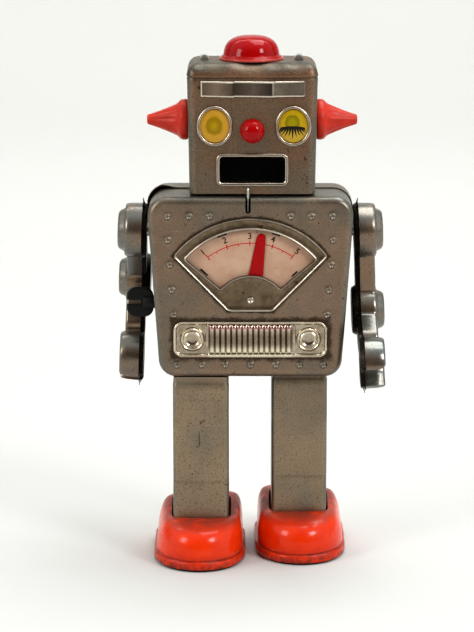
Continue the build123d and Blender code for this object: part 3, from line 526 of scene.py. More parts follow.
# ---------------------------------------------------------------- materials
class Value:
    """A number or colour that a node gives out. Arithmetic on it adds math nodes."""

    def __init__(self, finish, socket):
        self.finish = finish
        self.socket = socket

    def __add__(self, other):
        return self.finish.math("ADD", self, other)

    def __sub__(self, other):
        return self.finish.math("SUBTRACT", self, other)

    def __rsub__(self, other):
        return self.finish.math("SUBTRACT", other, self)

    def __mul__(self, other):
        return self.finish.math("MULTIPLY", self, other)

    def __abs__(self):
        return self.finish.math("ABSOLUTE", self)

    def root(self):
        return self.finish.math("SQRT", self)

    def at_least(self, other):
        return self.finish.math("MAXIMUM", self, other)

    def at_most(self, other):
        return self.finish.math("MINIMUM", self, other)

    def span(self, low, high, to_low=0.0, to_high=1.0):
        """Stretch a range of the value onto another range, with its ends held."""
        ends = {"From Min": low, "From Max": high, "To Min": to_low, "To Max": to_high}
        return self.finish.add("MapRange", {"Value": self, **ends}, "Result")

    def zone(self, low, high, to_low=0.0, to_high=1.0):
        """As span, for a length whose range is given in millimetres."""
        return self.span(low * MM, high * MM, to_low, to_high)


class Finish:
    """A node material being put together. Its methods add nodes and give back their values."""

    def __init__(self, name):
        self.material = bpy.data.materials.new(name)
        self.material.use_nodes = True
        self.nodes = self.material.node_tree.nodes
        self.links = self.material.node_tree.links
        self.surface = self.nodes["Principled BSDF"]
        self.place = self.add("TexCoord", {}, "Object")

    def put(self, socket, value):
        if isinstance(value, Value):
            self.links.new(value.socket, socket)
        elif isinstance(value, tuple) and socket.type == "RGBA":
            socket.default_value = (*value, 1.0)
        else:
            socket.default_value = value

    def add(self, kind, inputs, output=0, **settings):
        """A new node with its settings and inputs; gives back one of its outputs."""
        node = self.nodes.new("ShaderNode" + kind)
        for name, value in settings.items():
            setattr(node, name, value)
        for key, value in inputs.items():
            self.put(node.inputs[key], value)
        return Value(self, node.outputs[output])

    def stretched(self, scale, turn=(0, 0, 0)):
        turn = tuple(math.radians(angle) for angle in turn)
        return self.add("Mapping", {"Vector": self.place, "Scale": scale, "Rotation": turn}, "Vector")

    def noise(self, size, detail=3.0, rough=0.55, where=None):
        """Smooth noise with features of about this size in millimetres."""
        shape = {"Scale": 1 / (size * MM), "Detail": detail, "Roughness": rough}
        return self.add("TexNoise", {"Vector": where or self.place, **shape})

    def cells(self, size):
        return self.add("TexVoronoi", {"Vector": self.place, "Scale": 1 / (size * MM)}, "Distance")

    def math(self, operation, a, b=0.0):
        return self.add("Math", {0: a, 1: b}, operation=operation)

    def mix(self, share, a, b):
        """Colour a with colour b laid over it by a share."""
        return self.add("Mix", {0: share, 6: a, 7: b}, 2, data_type="RGBA")

    def axis(self, name, source=None):
        return self.add("SeparateXYZ", {0: source or self.place}, name)

    def ahead(self):
        """How much the surface itself faces the robot's front, whatever the camera does."""
        return self.axis("Y", self.add("TexCoord", {}, "Normal")) * -1.0

    def bump(self, height, strength, distance=0.1):
        shape = {"Height": height, "Strength": strength, "Distance": distance * MM}
        return self.add("Bump", shape, "Normal")

    def done(self, **values):
        for name, value in values.items():
            self.put(self.surface.inputs[name.replace("_", " ")], value)
        return self.material


def toned(colour, share):
    """A colour made darker or paler."""
    return tuple(value * share for value in colour)


def trim_shadow_and_grime(paint):
    """Painted contact shadow, with dirt, round the dial bezel and the grille plate: 1 against them, 0 a
    little away.
    """
    across = abs(paint.axis("X"))
    up = paint.axis("Z")
    over_pivot = up - DIAL_Z * MM
    arc = (across * across + over_pivot * over_pivot).root() - (BEZEL_HIGH.z - DIAL_Z) * MM
    lean = math.atan2(FAN_CORNER[0] - FAN_FOOT, FAN_CORNER[1] - BEZEL_LOW.z)
    out = (across - FAN_FOOT * MM) * math.cos(lean)
    down = (up - BEZEL_LOW.z * MM) * math.sin(lean)
    bezel = arc.at_least(out - down).at_least(BEZEL_LOW.z * MM - up)
    middle = (GRILLE_LOW + GRILLE_HIGH) / 2
    half = (GRILLE_HIGH - GRILLE_LOW) / 2
    beside = abs(paint.axis("X") - middle.x * MM) - half.x * MM
    above = abs(up - middle.z * MM) - half.z * MM
    near = bezel.at_most(beside.at_least(above) * 0.5)
    uneven = (paint.noise(3.5, 4.0, 0.7) - 0.5) * (2.6 * MM)
    return (near + uneven).zone(1.15, 0.35, 0.0, 0.85)


def gunmetal(name, front_tone, edge_tone, trimmed=False, gloss=0.0):
    """Worn metallic lacquer, flecked, scratched and rusty; brown in front and grey-green on the edges, by
    which way each face turns, as a painted reflection and shade.
    """
    paint = Finish(name)
    broad = paint.noise(22.0, 3.0)
    fleck = paint.noise(0.6, 2.0, 0.7)
    # painted reflection and shade: faces turned to the front take the front tone, faces turned away take the
    # edge tone
    tone = paint.mix(paint.ahead().span(0.80, 0.995), edge_tone, front_tone)
    tone = paint.mix(broad.span(0.36, 0.66, 0.0, 0.6), tone, toned(front_tone, 1.35))
    tone = paint.mix(paint.noise(30.0, 4.0, 0.6).span(0.46, 0.66, 0.0, 0.55), tone, edge_tone)
    if trimmed:
        # painted contact shadow with dirt against the dial bezel and the grille
        tone = paint.mix(trim_shadow_and_grime(paint), tone, (0.035, 0.020, 0.012))
    tone = paint.mix(fleck.span(0.56, 0.74, 0.0, 0.55), tone, (0.36, 0.29, 0.20))
    tone = paint.mix(fleck.span(0.44, 0.30, 0.0, 0.7), tone, (0.035, 0.026, 0.018))
    across = paint.noise(1.0, 2.0, 0.5, paint.stretched((0.06, 0.06, 2.2), (0, 24, 0)))
    scratch = across.span(0.70, 0.735)
    tone = paint.mix(scratch * 0.35, tone, (0.42, 0.38, 0.32))
    speck = paint.cells(5.2).span(0.085, 0.03)
    patch = paint.noise(5.0, 4.0, 0.75).span(0.65, 0.69)
    rust = speck.at_least(patch) * paint.noise(16.0, 2.0).span(0.44, 0.54)
    tone = paint.mix(rust, tone, (0.045, 0.014, 0.006))
    rough = broad.span(0.3, 0.7, 0.30 - gloss, 0.44 - gloss).at_least(rust * 0.8)
    relief = paint.noise(0.25, 2.0, 0.6) + rust * -0.8
    return paint.done(
        Base_Color=tone, Metallic=0.80 - rust * 0.75, Roughness=rough,
        Normal=paint.bump(relief, 0.25, 0.05), Specular_IOR_Level=0.3,
    )


def enamel(name, colour, deep, scuff=1.0):
    """Glossy enamel on tin, with chips, dirt low on the foot, a dark line of dirt and painted shade in the
    groove at the foot, and a rubbed, dirty rim.
    """
    paint = Finish(name)
    up = paint.axis("Z")
    tone = paint.mix(paint.noise(14.0, 3.0).span(0.35, 0.7), colour, deep)
    rim = up.zone(16.5, 21.0) * paint.noise(7.0, 4.0).span(0.22, 0.50)
    tone = paint.mix(rim * (0.85 * scuff), tone, (0.15, 0.040, 0.026))
    grime = up.zone(7.5, 1.5) * paint.noise(2.6, 5.0, 0.7).span(0.36, 0.58)
    tone = paint.mix(grime * (0.8 * scuff), tone, (0.09, 0.02, 0.012))
    # dark line along the groove at the foot: dirt with painted shade
    groove = abs(up - 4.75 * MM).zone(0.7, 0.1) * paint.noise(6.0, 3.0).span(0.3, 0.55, 0.25, 1.0)
    tone = paint.mix(groove * (0.7 * scuff), tone, (0.10, 0.014, 0.008))
    chips = paint.noise(1.5, 4.0, 0.7).span(0.68, 0.71) * paint.noise(11.0, 2.0).span(0.47, 0.55)
    tone = paint.mix(chips * (0.85 * scuff), tone, (0.045, 0.02, 0.015))
    rough = paint.noise(5.0, 4.0, 0.7).span(0.3, 0.75, 0.17, 0.34)
    relief = paint.noise(1.2, 2.0) + chips * -1.2
    return paint.done(
        Base_Color=tone, Roughness=rough + grime.at_least(rim) * (0.3 * scuff),
        Normal=paint.bump(relief, 0.10, 0.05),
        Coat_Weight=0.25 * scuff, Coat_Roughness=0.08, Specular_IOR_Level=0.18,
    )


def plastic(name, colour, rough, grime, pale=None):
    """Moulded plastic with faint grime and mould texture; the dome's thin flange is painted paler, as
    painted light through the thin plastic and a painted reflection of the lid.
    """
    paint = Finish(name)
    tone = paint.mix(paint.noise(6.0, 3.0).span(0.35, 0.7, 0.0, grime), colour, toned(colour, 0.62))
    if pale:
        up = paint.axis("Z")
        # painted light: the flange is made paler for light through the thin plastic and the lid's reflection
        flange_light = up.zone(DOME_LOW.z + 1.3, DOME_LOW.z + 0.8) * up.zone(DOME_LOW.z - 0.5, DOME_LOW.z)
        tone = paint.mix(flange_light * 0.6, tone, pale)
    return paint.done(
        Base_Color=tone, Roughness=paint.noise(2.0, 3.0).span(0.3, 0.7, rough * 0.8, rough * 1.25),
        Normal=paint.bump(paint.noise(0.7, 2.0), 0.06, 0.04), Specular_IOR_Level=0.22,
    )


def bright_metal(name, colour, rough, dull=None, raised_from=0.0):
    """Nickel plating over tin: bright, with brown tarnish and pits, and duller below its raised rims;
    without a dull colour, faces turned to the front are darker as a painted reflection.
    """
    paint = Finish(name)
    tone = paint.mix(paint.noise(4.5, 4.0, 0.7).span(0.45, 0.75, 0.0, 0.3), colour, (0.20, 0.14, 0.08))
    roughness = paint.noise(3.0, 4.0, 0.7).span(0.35, 0.75, rough, rough + 0.2)
    if dull:
        flat = paint.axis("Y").zone(raised_from - 0.25, raised_from)
        stained = paint.mix(paint.noise(6.0, 4.0, 0.7).span(0.42, 0.66), dull, toned(dull, 0.6))
        spots = paint.noise(5.0, 4.0, 0.75).span(0.62, 0.68)
        tone = paint.mix(flat, tone, paint.mix(spots, stained, (0.07, 0.022, 0.008)))
        roughness = roughness.at_least(flat * 0.36)
    else:
        # painted reflection: faces turned to the front are darkened
        tone = paint.mix(paint.ahead().span(0.80, 0.98, 0.0, 0.75), tone, toned(colour, 0.42))
    pits = paint.noise(0.9, 3.0, 0.7).span(0.74, 0.80, 0.0, 0.5)
    return paint.done(
        Base_Color=paint.mix(pits, tone, (0.06, 0.035, 0.02)), Metallic=1.0 - pits,
        Roughness=roughness, Normal=paint.bump(paint.noise(1.4, 3.0), 0.06, 0.05),
    )


def brow_metal(name):
    """The brow strip: three bent panels, each going from one tone to another along its length, with painted
    shade in the creases, a painted highlight just past the second crease, and a border painted bright as a
    highlight.
    """
    plate = Finish(name)
    ramp = plate.nodes.new("ShaderNodeValToRGB")
    plate.put(ramp.inputs[0], plate.axis("X").zone(BROW_LOW.x, BROW_HIGH.x))
    # Tones along the strip: the dark stops on the two creases are painted shade, the bright stop just past
    # the second is a painted highlight.
    stops = [
        (0.0, (0.20, 0.14, 0.10)), (0.16, (0.32, 0.24, 0.17)), (0.295, (0.16, 0.12, 0.09)),
        (0.31, (0.075, 0.058, 0.046)), (0.50, (0.19, 0.145, 0.115)), (0.675, (0.060, 0.047, 0.038)),
        (0.685, (0.62, 0.55, 0.46)), (0.70, (0.30, 0.25, 0.195)), (0.84, (0.20, 0.165, 0.13)),
        (1.0, (0.24, 0.19, 0.15)),
    ]
    elements = ramp.color_ramp.elements
    elements[0].color = (*stops[0][1], 1.0)
    elements[1].color = (*stops[-1][1], 1.0)
    for place, colour in stops[1:-1]:
        elements.new(place).color = (*colour, 1.0)
    cloud = plate.noise(3.0, 4.0, 0.7).span(0.45, 0.7, 0.0, 0.4)
    tone = plate.mix(cloud, Value(plate, ramp.outputs[0]), (0.09, 0.065, 0.05))
    # painted highlight: the crest of the raised border is coloured bright
    border = plate.axis("Y").zone(HEAD_FRONT - 0.47, HEAD_FRONT - 0.60)
    return plate.done(
        Base_Color=plate.mix(border, tone, (0.74, 0.68, 0.58)), Metallic=0.9,
        Roughness=border.span(0.0, 1.0, 0.30, 0.22),
        Normal=plate.bump(plate.noise(1.4, 3.0), 0.08, 0.06),
    )


def grille_metal(name):
    """The grille's plating: painted reflections at the ribs' ends, bright on every rim, painted shade
    mid-rib, and brown in the hollows.
    """
    plate = Finish(name)
    middle = (GRILLE_LOW + GRILLE_HIGH) / 2
    up = plate.axis("Z") - middle.z * MM
    across = abs(plate.axis("X") - middle.x * MM)
    ribs = across.zone(19.4, 18.6)
    cloud = plate.noise(4.0, 4.0, 0.7)
    tone = plate.mix(cloud.span(0.42, 0.70, 0.0, 0.7), (0.66, 0.58, 0.46), (0.34, 0.26, 0.17))
    # painted reflection: the lower ends of the ribs are coloured yellowish white
    tone = plate.mix(up.zone(-2.6, -4.6) * ribs, tone, (0.86, 0.80, 0.62))
    # painted reflection: a pinkish band at the upper ends of the ribs
    rib_top_reflection = up.zone(3.6, 4.6) * up.zone(6.6, 6.0)
    tone = plate.mix(rib_top_reflection * ribs * 0.8, tone, (0.80, 0.52, 0.50))
    # painted shade: the middle of each rib is darkened
    mid_rib_shade = abs(up) + cloud * (3.0 * MM)
    tone = plate.mix(mid_rib_shade.zone(6.2, 3.0, 0.0, 0.8) * ribs, tone, (0.20, 0.155, 0.12))
    knob = 1.0 - ribs
    deep = plate.axis("Y").zone(CHEST_Y - 1.30, CHEST_Y - 0.95)
    tone = plate.mix(deep * (knob * -0.08 + 0.50), tone, (0.15, 0.105, 0.07))
    return plate.done(
        Base_Color=tone, Metallic=1.0, Roughness=cloud.span(0.35, 0.75, 0.16, 0.36),
        Normal=plate.bump(plate.noise(1.4, 3.0), 0.08, 0.06),
    )


def plain_metal(name, colour, rough):
    """Machined or stamped steel and brass inside the works, with fine brushing and stains."""
    paint = Finish(name)
    brushed = paint.noise(0.5, 2.0, 0.5, paint.stretched((0.05, 1.0, 1.0)))
    tone = paint.mix(brushed.span(0.35, 0.65, 0.0, 0.25), colour, toned(colour, 0.6))
    tone = paint.mix(paint.noise(3.0, 4.0, 0.7).span(0.58, 0.72, 0.0, 0.7), tone, (0.10, 0.07, 0.05))
    return paint.done(
        Base_Color=tone, Metallic=1.0, Roughness=brushed.span(0.3, 0.7, rough, rough + 0.15),
        Normal=paint.bump(brushed, 0.12, 0.04),
    )


def black_lacquer(name, rough=0.38, depth=0.008):
    """Black lacquer, worn through here and there."""
    paint = Finish(name)
    worn = paint.noise(1.6, 4.0, 0.7).span(0.63, 0.70)
    tone = paint.mix(worn * 0.6, (depth, depth, depth), (depth * 12, depth * 9, depth * 7))
    return paint.done(
        Base_Color=tone, Metallic=worn * 0.8,
        Roughness=paint.noise(4.0, 3.0).span(0.3, 0.7, rough, rough + 0.2),
        Normal=paint.bump(paint.noise(0.6, 3.0), 0.2, 0.05), Specular_IOR_Level=0.25,
    )


def printed_card():
    """Old dial card: salmon, paler in places, foxed, most of all low down."""
    paint = Finish("printed_card")
    cloud = paint.noise(9.0, 4.0, 0.6)
    tone = paint.mix(cloud.span(0.35, 0.68), (0.45, 0.275, 0.19), (0.52, 0.35, 0.255))
    stain = paint.noise(2.4, 5.0, 0.75).span(0.60, 0.72)
    low = paint.axis("Z").zone(145, 132)
    return paint.done(
        Base_Color=paint.mix(stain * (low + 0.15), tone, (0.24, 0.12, 0.07)),
        Roughness=cloud.span(0.3, 0.7, 0.5, 0.7), Specular_IOR_Level=0.2,
        Normal=paint.bump(paint.noise(0.5, 3.0), 0.08, 0.04),
    )


def printing(name, colour):
    """Printing ink, a little uneven."""
    paint = Finish(name)
    paler = tuple(min(value * 1.8 + 0.02, 1.0) for value in colour)
    return paint.done(
        Base_Color=paint.mix(paint.noise(0.8, 3.0).span(0.4, 0.75, 0.0, 0.5), colour, paler),
        Roughness=0.6, Specular_IOR_Level=0.15, Normal=paint.bump(paint.noise(0.4, 2.0), 0.05, 0.02),
    )


def eye_picture(name, centre, open_eye):
    """Yellow picture of an eye under clear plastic: rings about a centre, cut off by a lid when shut."""
    paint = Finish(name)
    dx = paint.axis("X") - centre[0] * MM
    dz = (paint.axis("Z") - centre[1] * MM) * 0.9
    haze = (paint.noise(1.7, 3.0) - 0.5) * (1.3 * MM)
    reach = (dx * dx + dz * dz).root() + haze
    yellow = paint.mix(paint.noise(3.0, 2.0), (0.43, 0.225, 0.020), (0.50, 0.30, 0.03))
    if open_eye:
        rosy = paint.mix(reach.zone(4.6, 6.2, 0.0, 0.35), yellow, (0.56, 0.28, 0.07))
        iris = paint.mix(reach.zone(4.3, 3.3, 0.0, 0.9), rosy, (0.25, 0.155, 0.002))
        tone = paint.mix(reach.zone(2.4, 0.3, 0.0, 0.75), iris, (0.42, 0.27, 0.006))
    else:
        lemon = paint.mix(0.75, yellow, (0.42, 0.29, 0.004))
        iris = paint.mix(reach.zone(3.5, 3.1, 0.0, 0.9), lemon, (0.185, 0.150, 0.003))
        tone = paint.mix(reach.zone(2.9, 1.2, 0.0, 0.8), iris, (0.30, 0.25, 0.004))
        tone = paint.mix(dz.zone(-1.6, -1.8), tone, (0.46, 0.30, 0.035))
    return paint.done(
        Base_Color=tone, Roughness=0.30, Normal=paint.bump(paint.noise(0.6, 2.0), 0.1, 0.03),
        Coat_Weight=0.12, Coat_Roughness=0.06, Specular_IOR_Level=0.1,
    )


BODY_PAINT = gunmetal("body_paint", (0.204, 0.124, 0.077), (0.140, 0.138, 0.114))
TRUNK_PAINT = gunmetal("trunk_paint", (0.226, 0.160, 0.113), (0.142, 0.146, 0.126), trimmed=True)
LID_PAINT = gunmetal("lid_paint", (0.228, 0.126, 0.074), (0.092, 0.086, 0.070), gloss=-0.08)
LEG_PAINT = gunmetal("leg_paint", (0.275, 0.208, 0.142), (0.165, 0.160, 0.132))
ARM_PAINT = gunmetal("arm_paint", (0.212, 0.144, 0.099), (0.162, 0.180, 0.175), gloss=0.12)
# Near-black lacquer on the arms' inner half shells: painted shade for the side turned to the trunk.
INNER_SHADE_PAINT = gunmetal("inner_painted_shade", (0.014, 0.011, 0.009), (0.011, 0.010, 0.010))
BOOT_ENAMEL = enamel("boot_enamel", (0.74, 0.044, 0.003), (0.62, 0.026, 0.002))
DOME_PLASTIC = plastic("red_gloss_plastic", (0.35, 0.0015, 0.003), 0.08, 0.45, (0.42, 0.10, 0.08))
EAR_PLASTIC = plastic("red_ear_plastic", (0.57, 0.038, 0.020), 0.33, 0.7)
BRIGHT = bright_metal("bright_plate", (0.56, 0.485, 0.40), 0.16)
BROW_METAL = brow_metal("brow_plate")
GRILLE_METAL = grille_metal("grille_metal")
BEZEL_METAL = bright_metal(
    "bezel_metal", (0.46, 0.42, 0.36), 0.26, (0.215, 0.160, 0.105), CHEST_Y - 0.98
)
CARD = printed_card()
RED_INK = printing("red_ink", (0.42, 0.012, 0.016))
DARK_INK = printing("dark_ink", (0.040, 0.022, 0.016))
LASH_INK = printing("lash_ink", (0.010, 0.009, 0.003))
NEEDLE_RED = enamel("needle_red", (0.36, 0.002, 0.004), (0.31, 0.002, 0.003), 0.0)
BLACK = black_lacquer("black_steel")
# Blacker and rougher than the lacquer: painted shade for the inside of the mouth.
MOUTH_SHADE_BLACK = black_lacquer("mouth_shade_black", 0.85, 0.0015)
STEEL = plain_metal("steel", (0.55, 0.53, 0.50), 0.30)
SPRING_STEEL = plain_metal("blue_spring_steel", (0.14, 0.17, 0.26), 0.28)
BRASS = plain_metal("gear_brass", (0.72, 0.52, 0.22), 0.28)
EYE_MATERIALS = {
    "right": eye_picture("eye_open", (EYES["right"] - 0.3, EYE_Z + 0.1), True),
    "left": eye_picture("eye_winking", (EYES["left"] - 0.4, EYE_Z + 1.5), False),
}
SLOT_FINISHES = {
    "body_paint": BODY_PAINT, "boot_enamel": BOOT_ENAMEL, "red_gloss_plastic": DOME_PLASTIC,
    "red_ear_plastic": EAR_PLASTIC, "bright_plate": BRIGHT, "bezel_metal": BEZEL_METAL,
    "printed_card": CARD, "needle_red": NEEDLE_RED, "black_steel": BLACK, "steel": STEEL,
    "blue_spring_steel": SPRING_STEEL, "gear_brass": BRASS,
}


def finish_cad_nodes():
    """Give every CAD node the finish of its slot; the mouth's liner gets a deeper black as painted shade
    inside the mouth.
    """
    for row in frame["record"]["subparts"]:
        finish = SLOT_FINISHES.get(row["material_slot"])
        if row["node"] == "mouth_liner":
            finish = MOUTH_SHADE_BLACK
        if finish:
            node = frame["nodes"][row["node"]]
            node.data.materials.clear()
            node.data.materials.append(finish)


# ---------------------------------------------------------------- trunk
TRUNK_CORNERS = [
    (-TRUNK_TOP_HALF, TRUNK_TOP), (-TRUNK_BOTTOM_HALF, TRUNK_BOTTOM),
    (TRUNK_BOTTOM_HALF, TRUNK_BOTTOM), (TRUNK_TOP_HALF, TRUNK_TOP),
]
RIVET_RELIEF = [
    (0.0, 0.12), (0.45, 0.28), (0.8, 0.66), (1.1, 0.76), (1.4, 0.55), (1.65, 0.12), (1.95, 0.0),
]


def rivet_places():
    """Embossed rivets on the chest, as x and z."""
    places = [(x, 161.2) for x in (-37.4, -27.8, -18.4, 18.2, 27.6, 37.2)]
    for side in (-1, 1):
        for drop in (0.0, 11.4, 23.0, 34.4):
            places.append((side * (37.3 - 0.075 * drop), 150.4 - drop))
    return places + [(x, 92.8) for x in (-33.2, -22.0, -11.3, 0.0, 11.6, 22.4, 33.2)]


def fan_outline(inset):
    """The bezel's fan, drawn smaller by the inset, as a loop."""
    radius = BEZEL_HIGH.z - DIAL_Z - inset
    reach = math.degrees(math.atan2(FAN_CORNER[1] - DIAL_Z, FAN_CORNER[0]))
    arc = arc_points((0, DIAL_Z), radius, reach + 2.5, 180 - reach - 2.5, 40)
    foot = FAN_FOOT - inset * 0.4
    return arc + [(-foot, BEZEL_LOW.z + inset), (foot, BEZEL_LOW.z + inset)]


def pan(inset, y_open, y_face, relief=None, holes=(), circles=()):
    """A deep pan: walls, a round edge, and a face that may carry a relief."""
    way = 1 if y_face > y_open else -1
    turn_y = y_face - way * TRUNK_EDGE
    levels = [(inset, y_open + (turn_y - y_open) * step / 9) for step in range(10)]
    for turn in range(15, 91, 15):
        a = math.radians(turn)
        levels.append((inset + TRUNK_EDGE * (1 - math.cos(a)), turn_y + way * TRUNK_EDGE * math.sin(a)))
    outlines = [rounded_outline(TRUNK_CORNERS, TRUNK_RADII, shift) for shift, y in levels]
    form = Form()
    form.skin([[(x, y, z) for x, z in outline] for outline, (shift, y) in zip(outlines, levels)])
    points, faces = fill(outlines[-1], holes, circles)
    raised = [(x, y_face + way * (relief(x, z) if relief else 0.0), z) for x, z in points]
    return form.add(raised, faces)


def wire_slot():
    """Slot in the chest and in the trunk's top that the nod wire moves in, round at its foot."""
    x, z, half = node_box("nod_wire")[0].x + 0.6, 163.8, 1.2
    outline = arc_points((x, z), half, 180, 360, 10) + [(x + half, 176), (x - half, 176)]
    return prism(outline, FRONT, -25.0, -15.5)


def hanger_slots():
    """Slots in the trunk's floor for the leg hangers."""
    return [prism(rectangle(x - 0.6, x + 1.8, -12, 12), Matrix.Identity(4), 80, 92) for x in (-32.2, 31.0)]


def build_trunk():
    rivets = rivet_places()

    def relief(x, z):
        return interpolate(RIVET_RELIEF, min(math.hypot(x - rx, z - rz) for rx, rz in rivets))

    radii = [row[0] for row in RIVET_RELIEF[1:]]
    front = pan(
        0.0, SHELL_HIGH.y, CHEST_Y, relief, [fan_outline(3.0)], [(rivet, radii) for rivet in rivets]
    ).wobble(0.10, 17.0)
    shoulder_holes = [prism(circle_points((0, SHOULDER.z), 2.55), SIDE, x, x + 9) for x in (-51, 42)]
    arbor_hole = prism(circle_points((0, ARBOR_Z), 3.0), SIDE, -50, -35)
    make("trunk_front", front, TRUNK_PAINT, "torso", ["torso_front_shell"], SHEET,
         cutters=[wire_slot(), *hanger_slots(), *shoulder_holes, arbor_hole])

    back = pan(-0.55, BACK_LOW.y, BACK_HIGH.y).wobble(0.10, 19.0)
    for point in back.points:
        # one upper corner has sprung up from the front shell
        corner = smoothstep((-point.x - 33) / 8) * smoothstep((point.z - 152) / 10)
        sprung = corner * smoothstep((15 - point.y) / 10)
        point.x += -0.35 * sprung
        point.z += 1.5 * sprung
    make("trunk_back", back, BODY_PAINT, "torso", ["torso_back_shell"], SHEET,
         cutters=hanger_slots())


# ---------------------------------------------------------------- dial
def fan_distance(x, z):
    """Distance to the bezel's fan."""
    corner = np.array(FAN_CORNER)
    foot = np.array((FAN_FOOT, BEZEL_LOW.z))
    along = (corner - foot) / np.linalg.norm(corner - foot)
    side = (np.abs(x) - foot[0]) * along[1] - (z - foot[1]) * along[0]
    top = np.hypot(x, z - DIAL_Z) - (BEZEL_HIGH.z - DIAL_Z)
    return corner_distance([side, top, foot[1] - z], 1.6)


def window_distance(x, z):
    """Distance to the window between the two arcs of the dial."""
    reach = np.hypot(x, z - DIAL_Z)
    lean = math.radians(WINDOW_HALF_ANGLE)
    side = np.abs(x) * math.cos(lean) - (z - DIAL_Z) * math.sin(lean)
    return corner_distance([side, reach - WINDOW_RADIUS, COVER_RADIUS - reach], 0.5)


def dial_place(radius, angle):
    """A point of the printing on the dial card; the angle is from straight up towards +X."""
    a = math.radians(angle)
    return (radius * math.sin(a), CARD_LOW.y - INK, DIAL_Z + radius * math.cos(a))


def add_band(form, radius0, radius1, start, end, steps):
    """A thin printed stripe along an arc of the dial, or a tick if it is narrow."""
    turns = [start + (end - start) * step / steps for step in range(steps + 1)]
    form.skin([[dial_place(radius, turn) for turn in turns] for radius in (radius0, radius1)], closed=False)


def build_scale():
    """The printed scale: an arc, long and short ticks, the numbers and the slots for the bezel's tabs."""
    inner, outer = SCALE_RADIUS, SCALE_RADIUS + SCALE_WIDTH
    scale = Form()
    add_band(scale, inner, outer, -37.0, 36.4, 60)
    for angle, reach in ((-37.0, 1.4), (-19.3, 0.95), (-0.6, 0.95), (17.9, 0.9), (36.2, 1.3)):
        add_band(scale, inner - reach, inner, angle - 0.42, angle + 0.42, 2)
        add_band(scale, outer, outer + reach, angle - 0.42, angle + 0.42, 2)
    for angle in (-28.6, -9.8, 8.6, 27.0):
        add_band(scale, inner - 0.9, inner, angle - 0.3, angle + 0.3, 2)
    make("dial_scale", scale, RED_INK, "torso", wall=0.02, front=AHEAD)

    marks = Form()
    for angle, low, high, length in (
        (-19.8, 37.6, 38.5, 4.6), (17.7, 37.6, 38.5, 4.0), (4.5, 36.9, 38.2, 0.3),
        (-48.2, 26.0, 30.4, 0.95), (47.8, 25.2, 28.6, 0.8),
    ):
        half = math.degrees(length / 2 / high)
        add_band(marks, low, high, angle - half, angle + half, 6)
    make("dial_slots", marks, BLACK, "torso", wall=0.02, front=AHEAD)

    for text, angle in (("1", -37.6), ("2", -19.2), ("3", -0.5), ("4", 16.8), ("5", 36.6)):
        add_number(text, angle, 34.1)


def add_number(text, angle, radius):
    """A printed number with its foot towards the needle's pivot."""
    curve = bpy.data.curves.new(f"number_{text}", "FONT")
    curve.body = text
    curve.size = 4.0 * MM
    curve.offset = 0.05 * MM
    curve.extrude = 0.01 * MM
    curve.align_x = "CENTER"
    drawn = put_in_scene(f"number_{text}", curve)
    mesh = settled_mesh(drawn)
    bpy.data.objects.remove(drawn)
    turn = Euler((math.radians(90), math.radians(angle), 0), "XYZ").to_matrix().to_4x4()
    mesh.transform(Matrix.Translation(Vector(dial_place(radius, angle)) * MM) @ turn)
    finish_piece(put_in_scene(f"dial_number_{text}", mesh), DARK_INK, "torso")


def build_bezel():
    """The fan-shaped plate with its raised rims, and the bright rivet under the needle's pivot."""
    rim = [(0.0, 0.0), (0.1, 0.85), (0.3, 1.18), (0.6, 1.27), (0.9, 1.12), (1.2, 0.66), (1.45, 0.55)]

    def distance(x, z):
        hole = np.hypot(x, z - RIVET_Z) - 1.0
        return np.maximum.reduce([fan_distance(x, z), -window_distance(x, z), -hole])

    def height(d, x, z):
        return rim[-1][1] if math.hypot(x, z - RIVET_Z) < 3.0 else interpolate(rim, -d)

    points, faces = pressing(
        distance, box_round(BEZEL_LOW, BEZEL_HIGH), edge_lines(rim), height, cell=0.35, spacing=1.5
    )
    form = Form().add([(x, CHEST_Y - h, z) for x, z, h in points], faces).wobble(0.05, 6.0)
    make("dial_bezel_plate", form, BEZEL_METAL, "torso", ["dial_bezel"], 0.3, 32,
         front=AHEAD)

    profile = [
        (0.001, 0.72), (0.35, 0.76), (0.55, 0.92), (0.85, 1.28), (1.2, 1.42),
        (1.5, 1.28), (1.65, 0.98), (1.62, 0.72), (1.3, 0.6),
    ]
    rivet = Form().lathe(profile, facing_out(0.0, RIVET_Z, CHEST_Y), 32)
    make("dial_rivet_head", rivet, BRIGHT, "torso", ["dial_rivet"])


def build_needle():
    """A tapered blade with a round tip and a round root with the pivot's hole."""
    crown = [(0.0, 0.0), (0.1, 0.22), (0.35, 0.32), (0.9, 0.38), (1.7, 0.41)]

    def distance(x, z):
        share = np.clip(z / NEEDLE_REACH, 0, 1)
        blade = np.maximum(np.abs(x) - (4.6 - 2.6 * share), np.maximum(z - NEEDLE_REACH, -z))
        blade = np.minimum(blade, disc_distance(x, z, (0, NEEDLE_REACH), 2.0))
        return np.maximum(np.minimum(blade, disc_distance(x, z, (0, 0), 4.2)), 1.06 - np.hypot(x, z))

    points, faces = pressing(
        distance, (-5.6, 5.6, -5.6, 38), edge_lines(crown[:4]), lambda d, x, z: interpolate(crown, -d),
        cell=0.25, spacing=0.9,
    )
    lean = Matrix.Rotation(math.radians(NEEDLE_ANGLE), 4, "Y")
    shift = Vector((0, node_box("needle")[1].y, DIAL_Z))
    needle = Form().add([lean @ Vector((x, -h, z)) + shift for x, z, h in points], faces)
    make("needle_blade", needle, NEEDLE_RED, "needle", ["needle"], 0.12, 60, front=AHEAD)


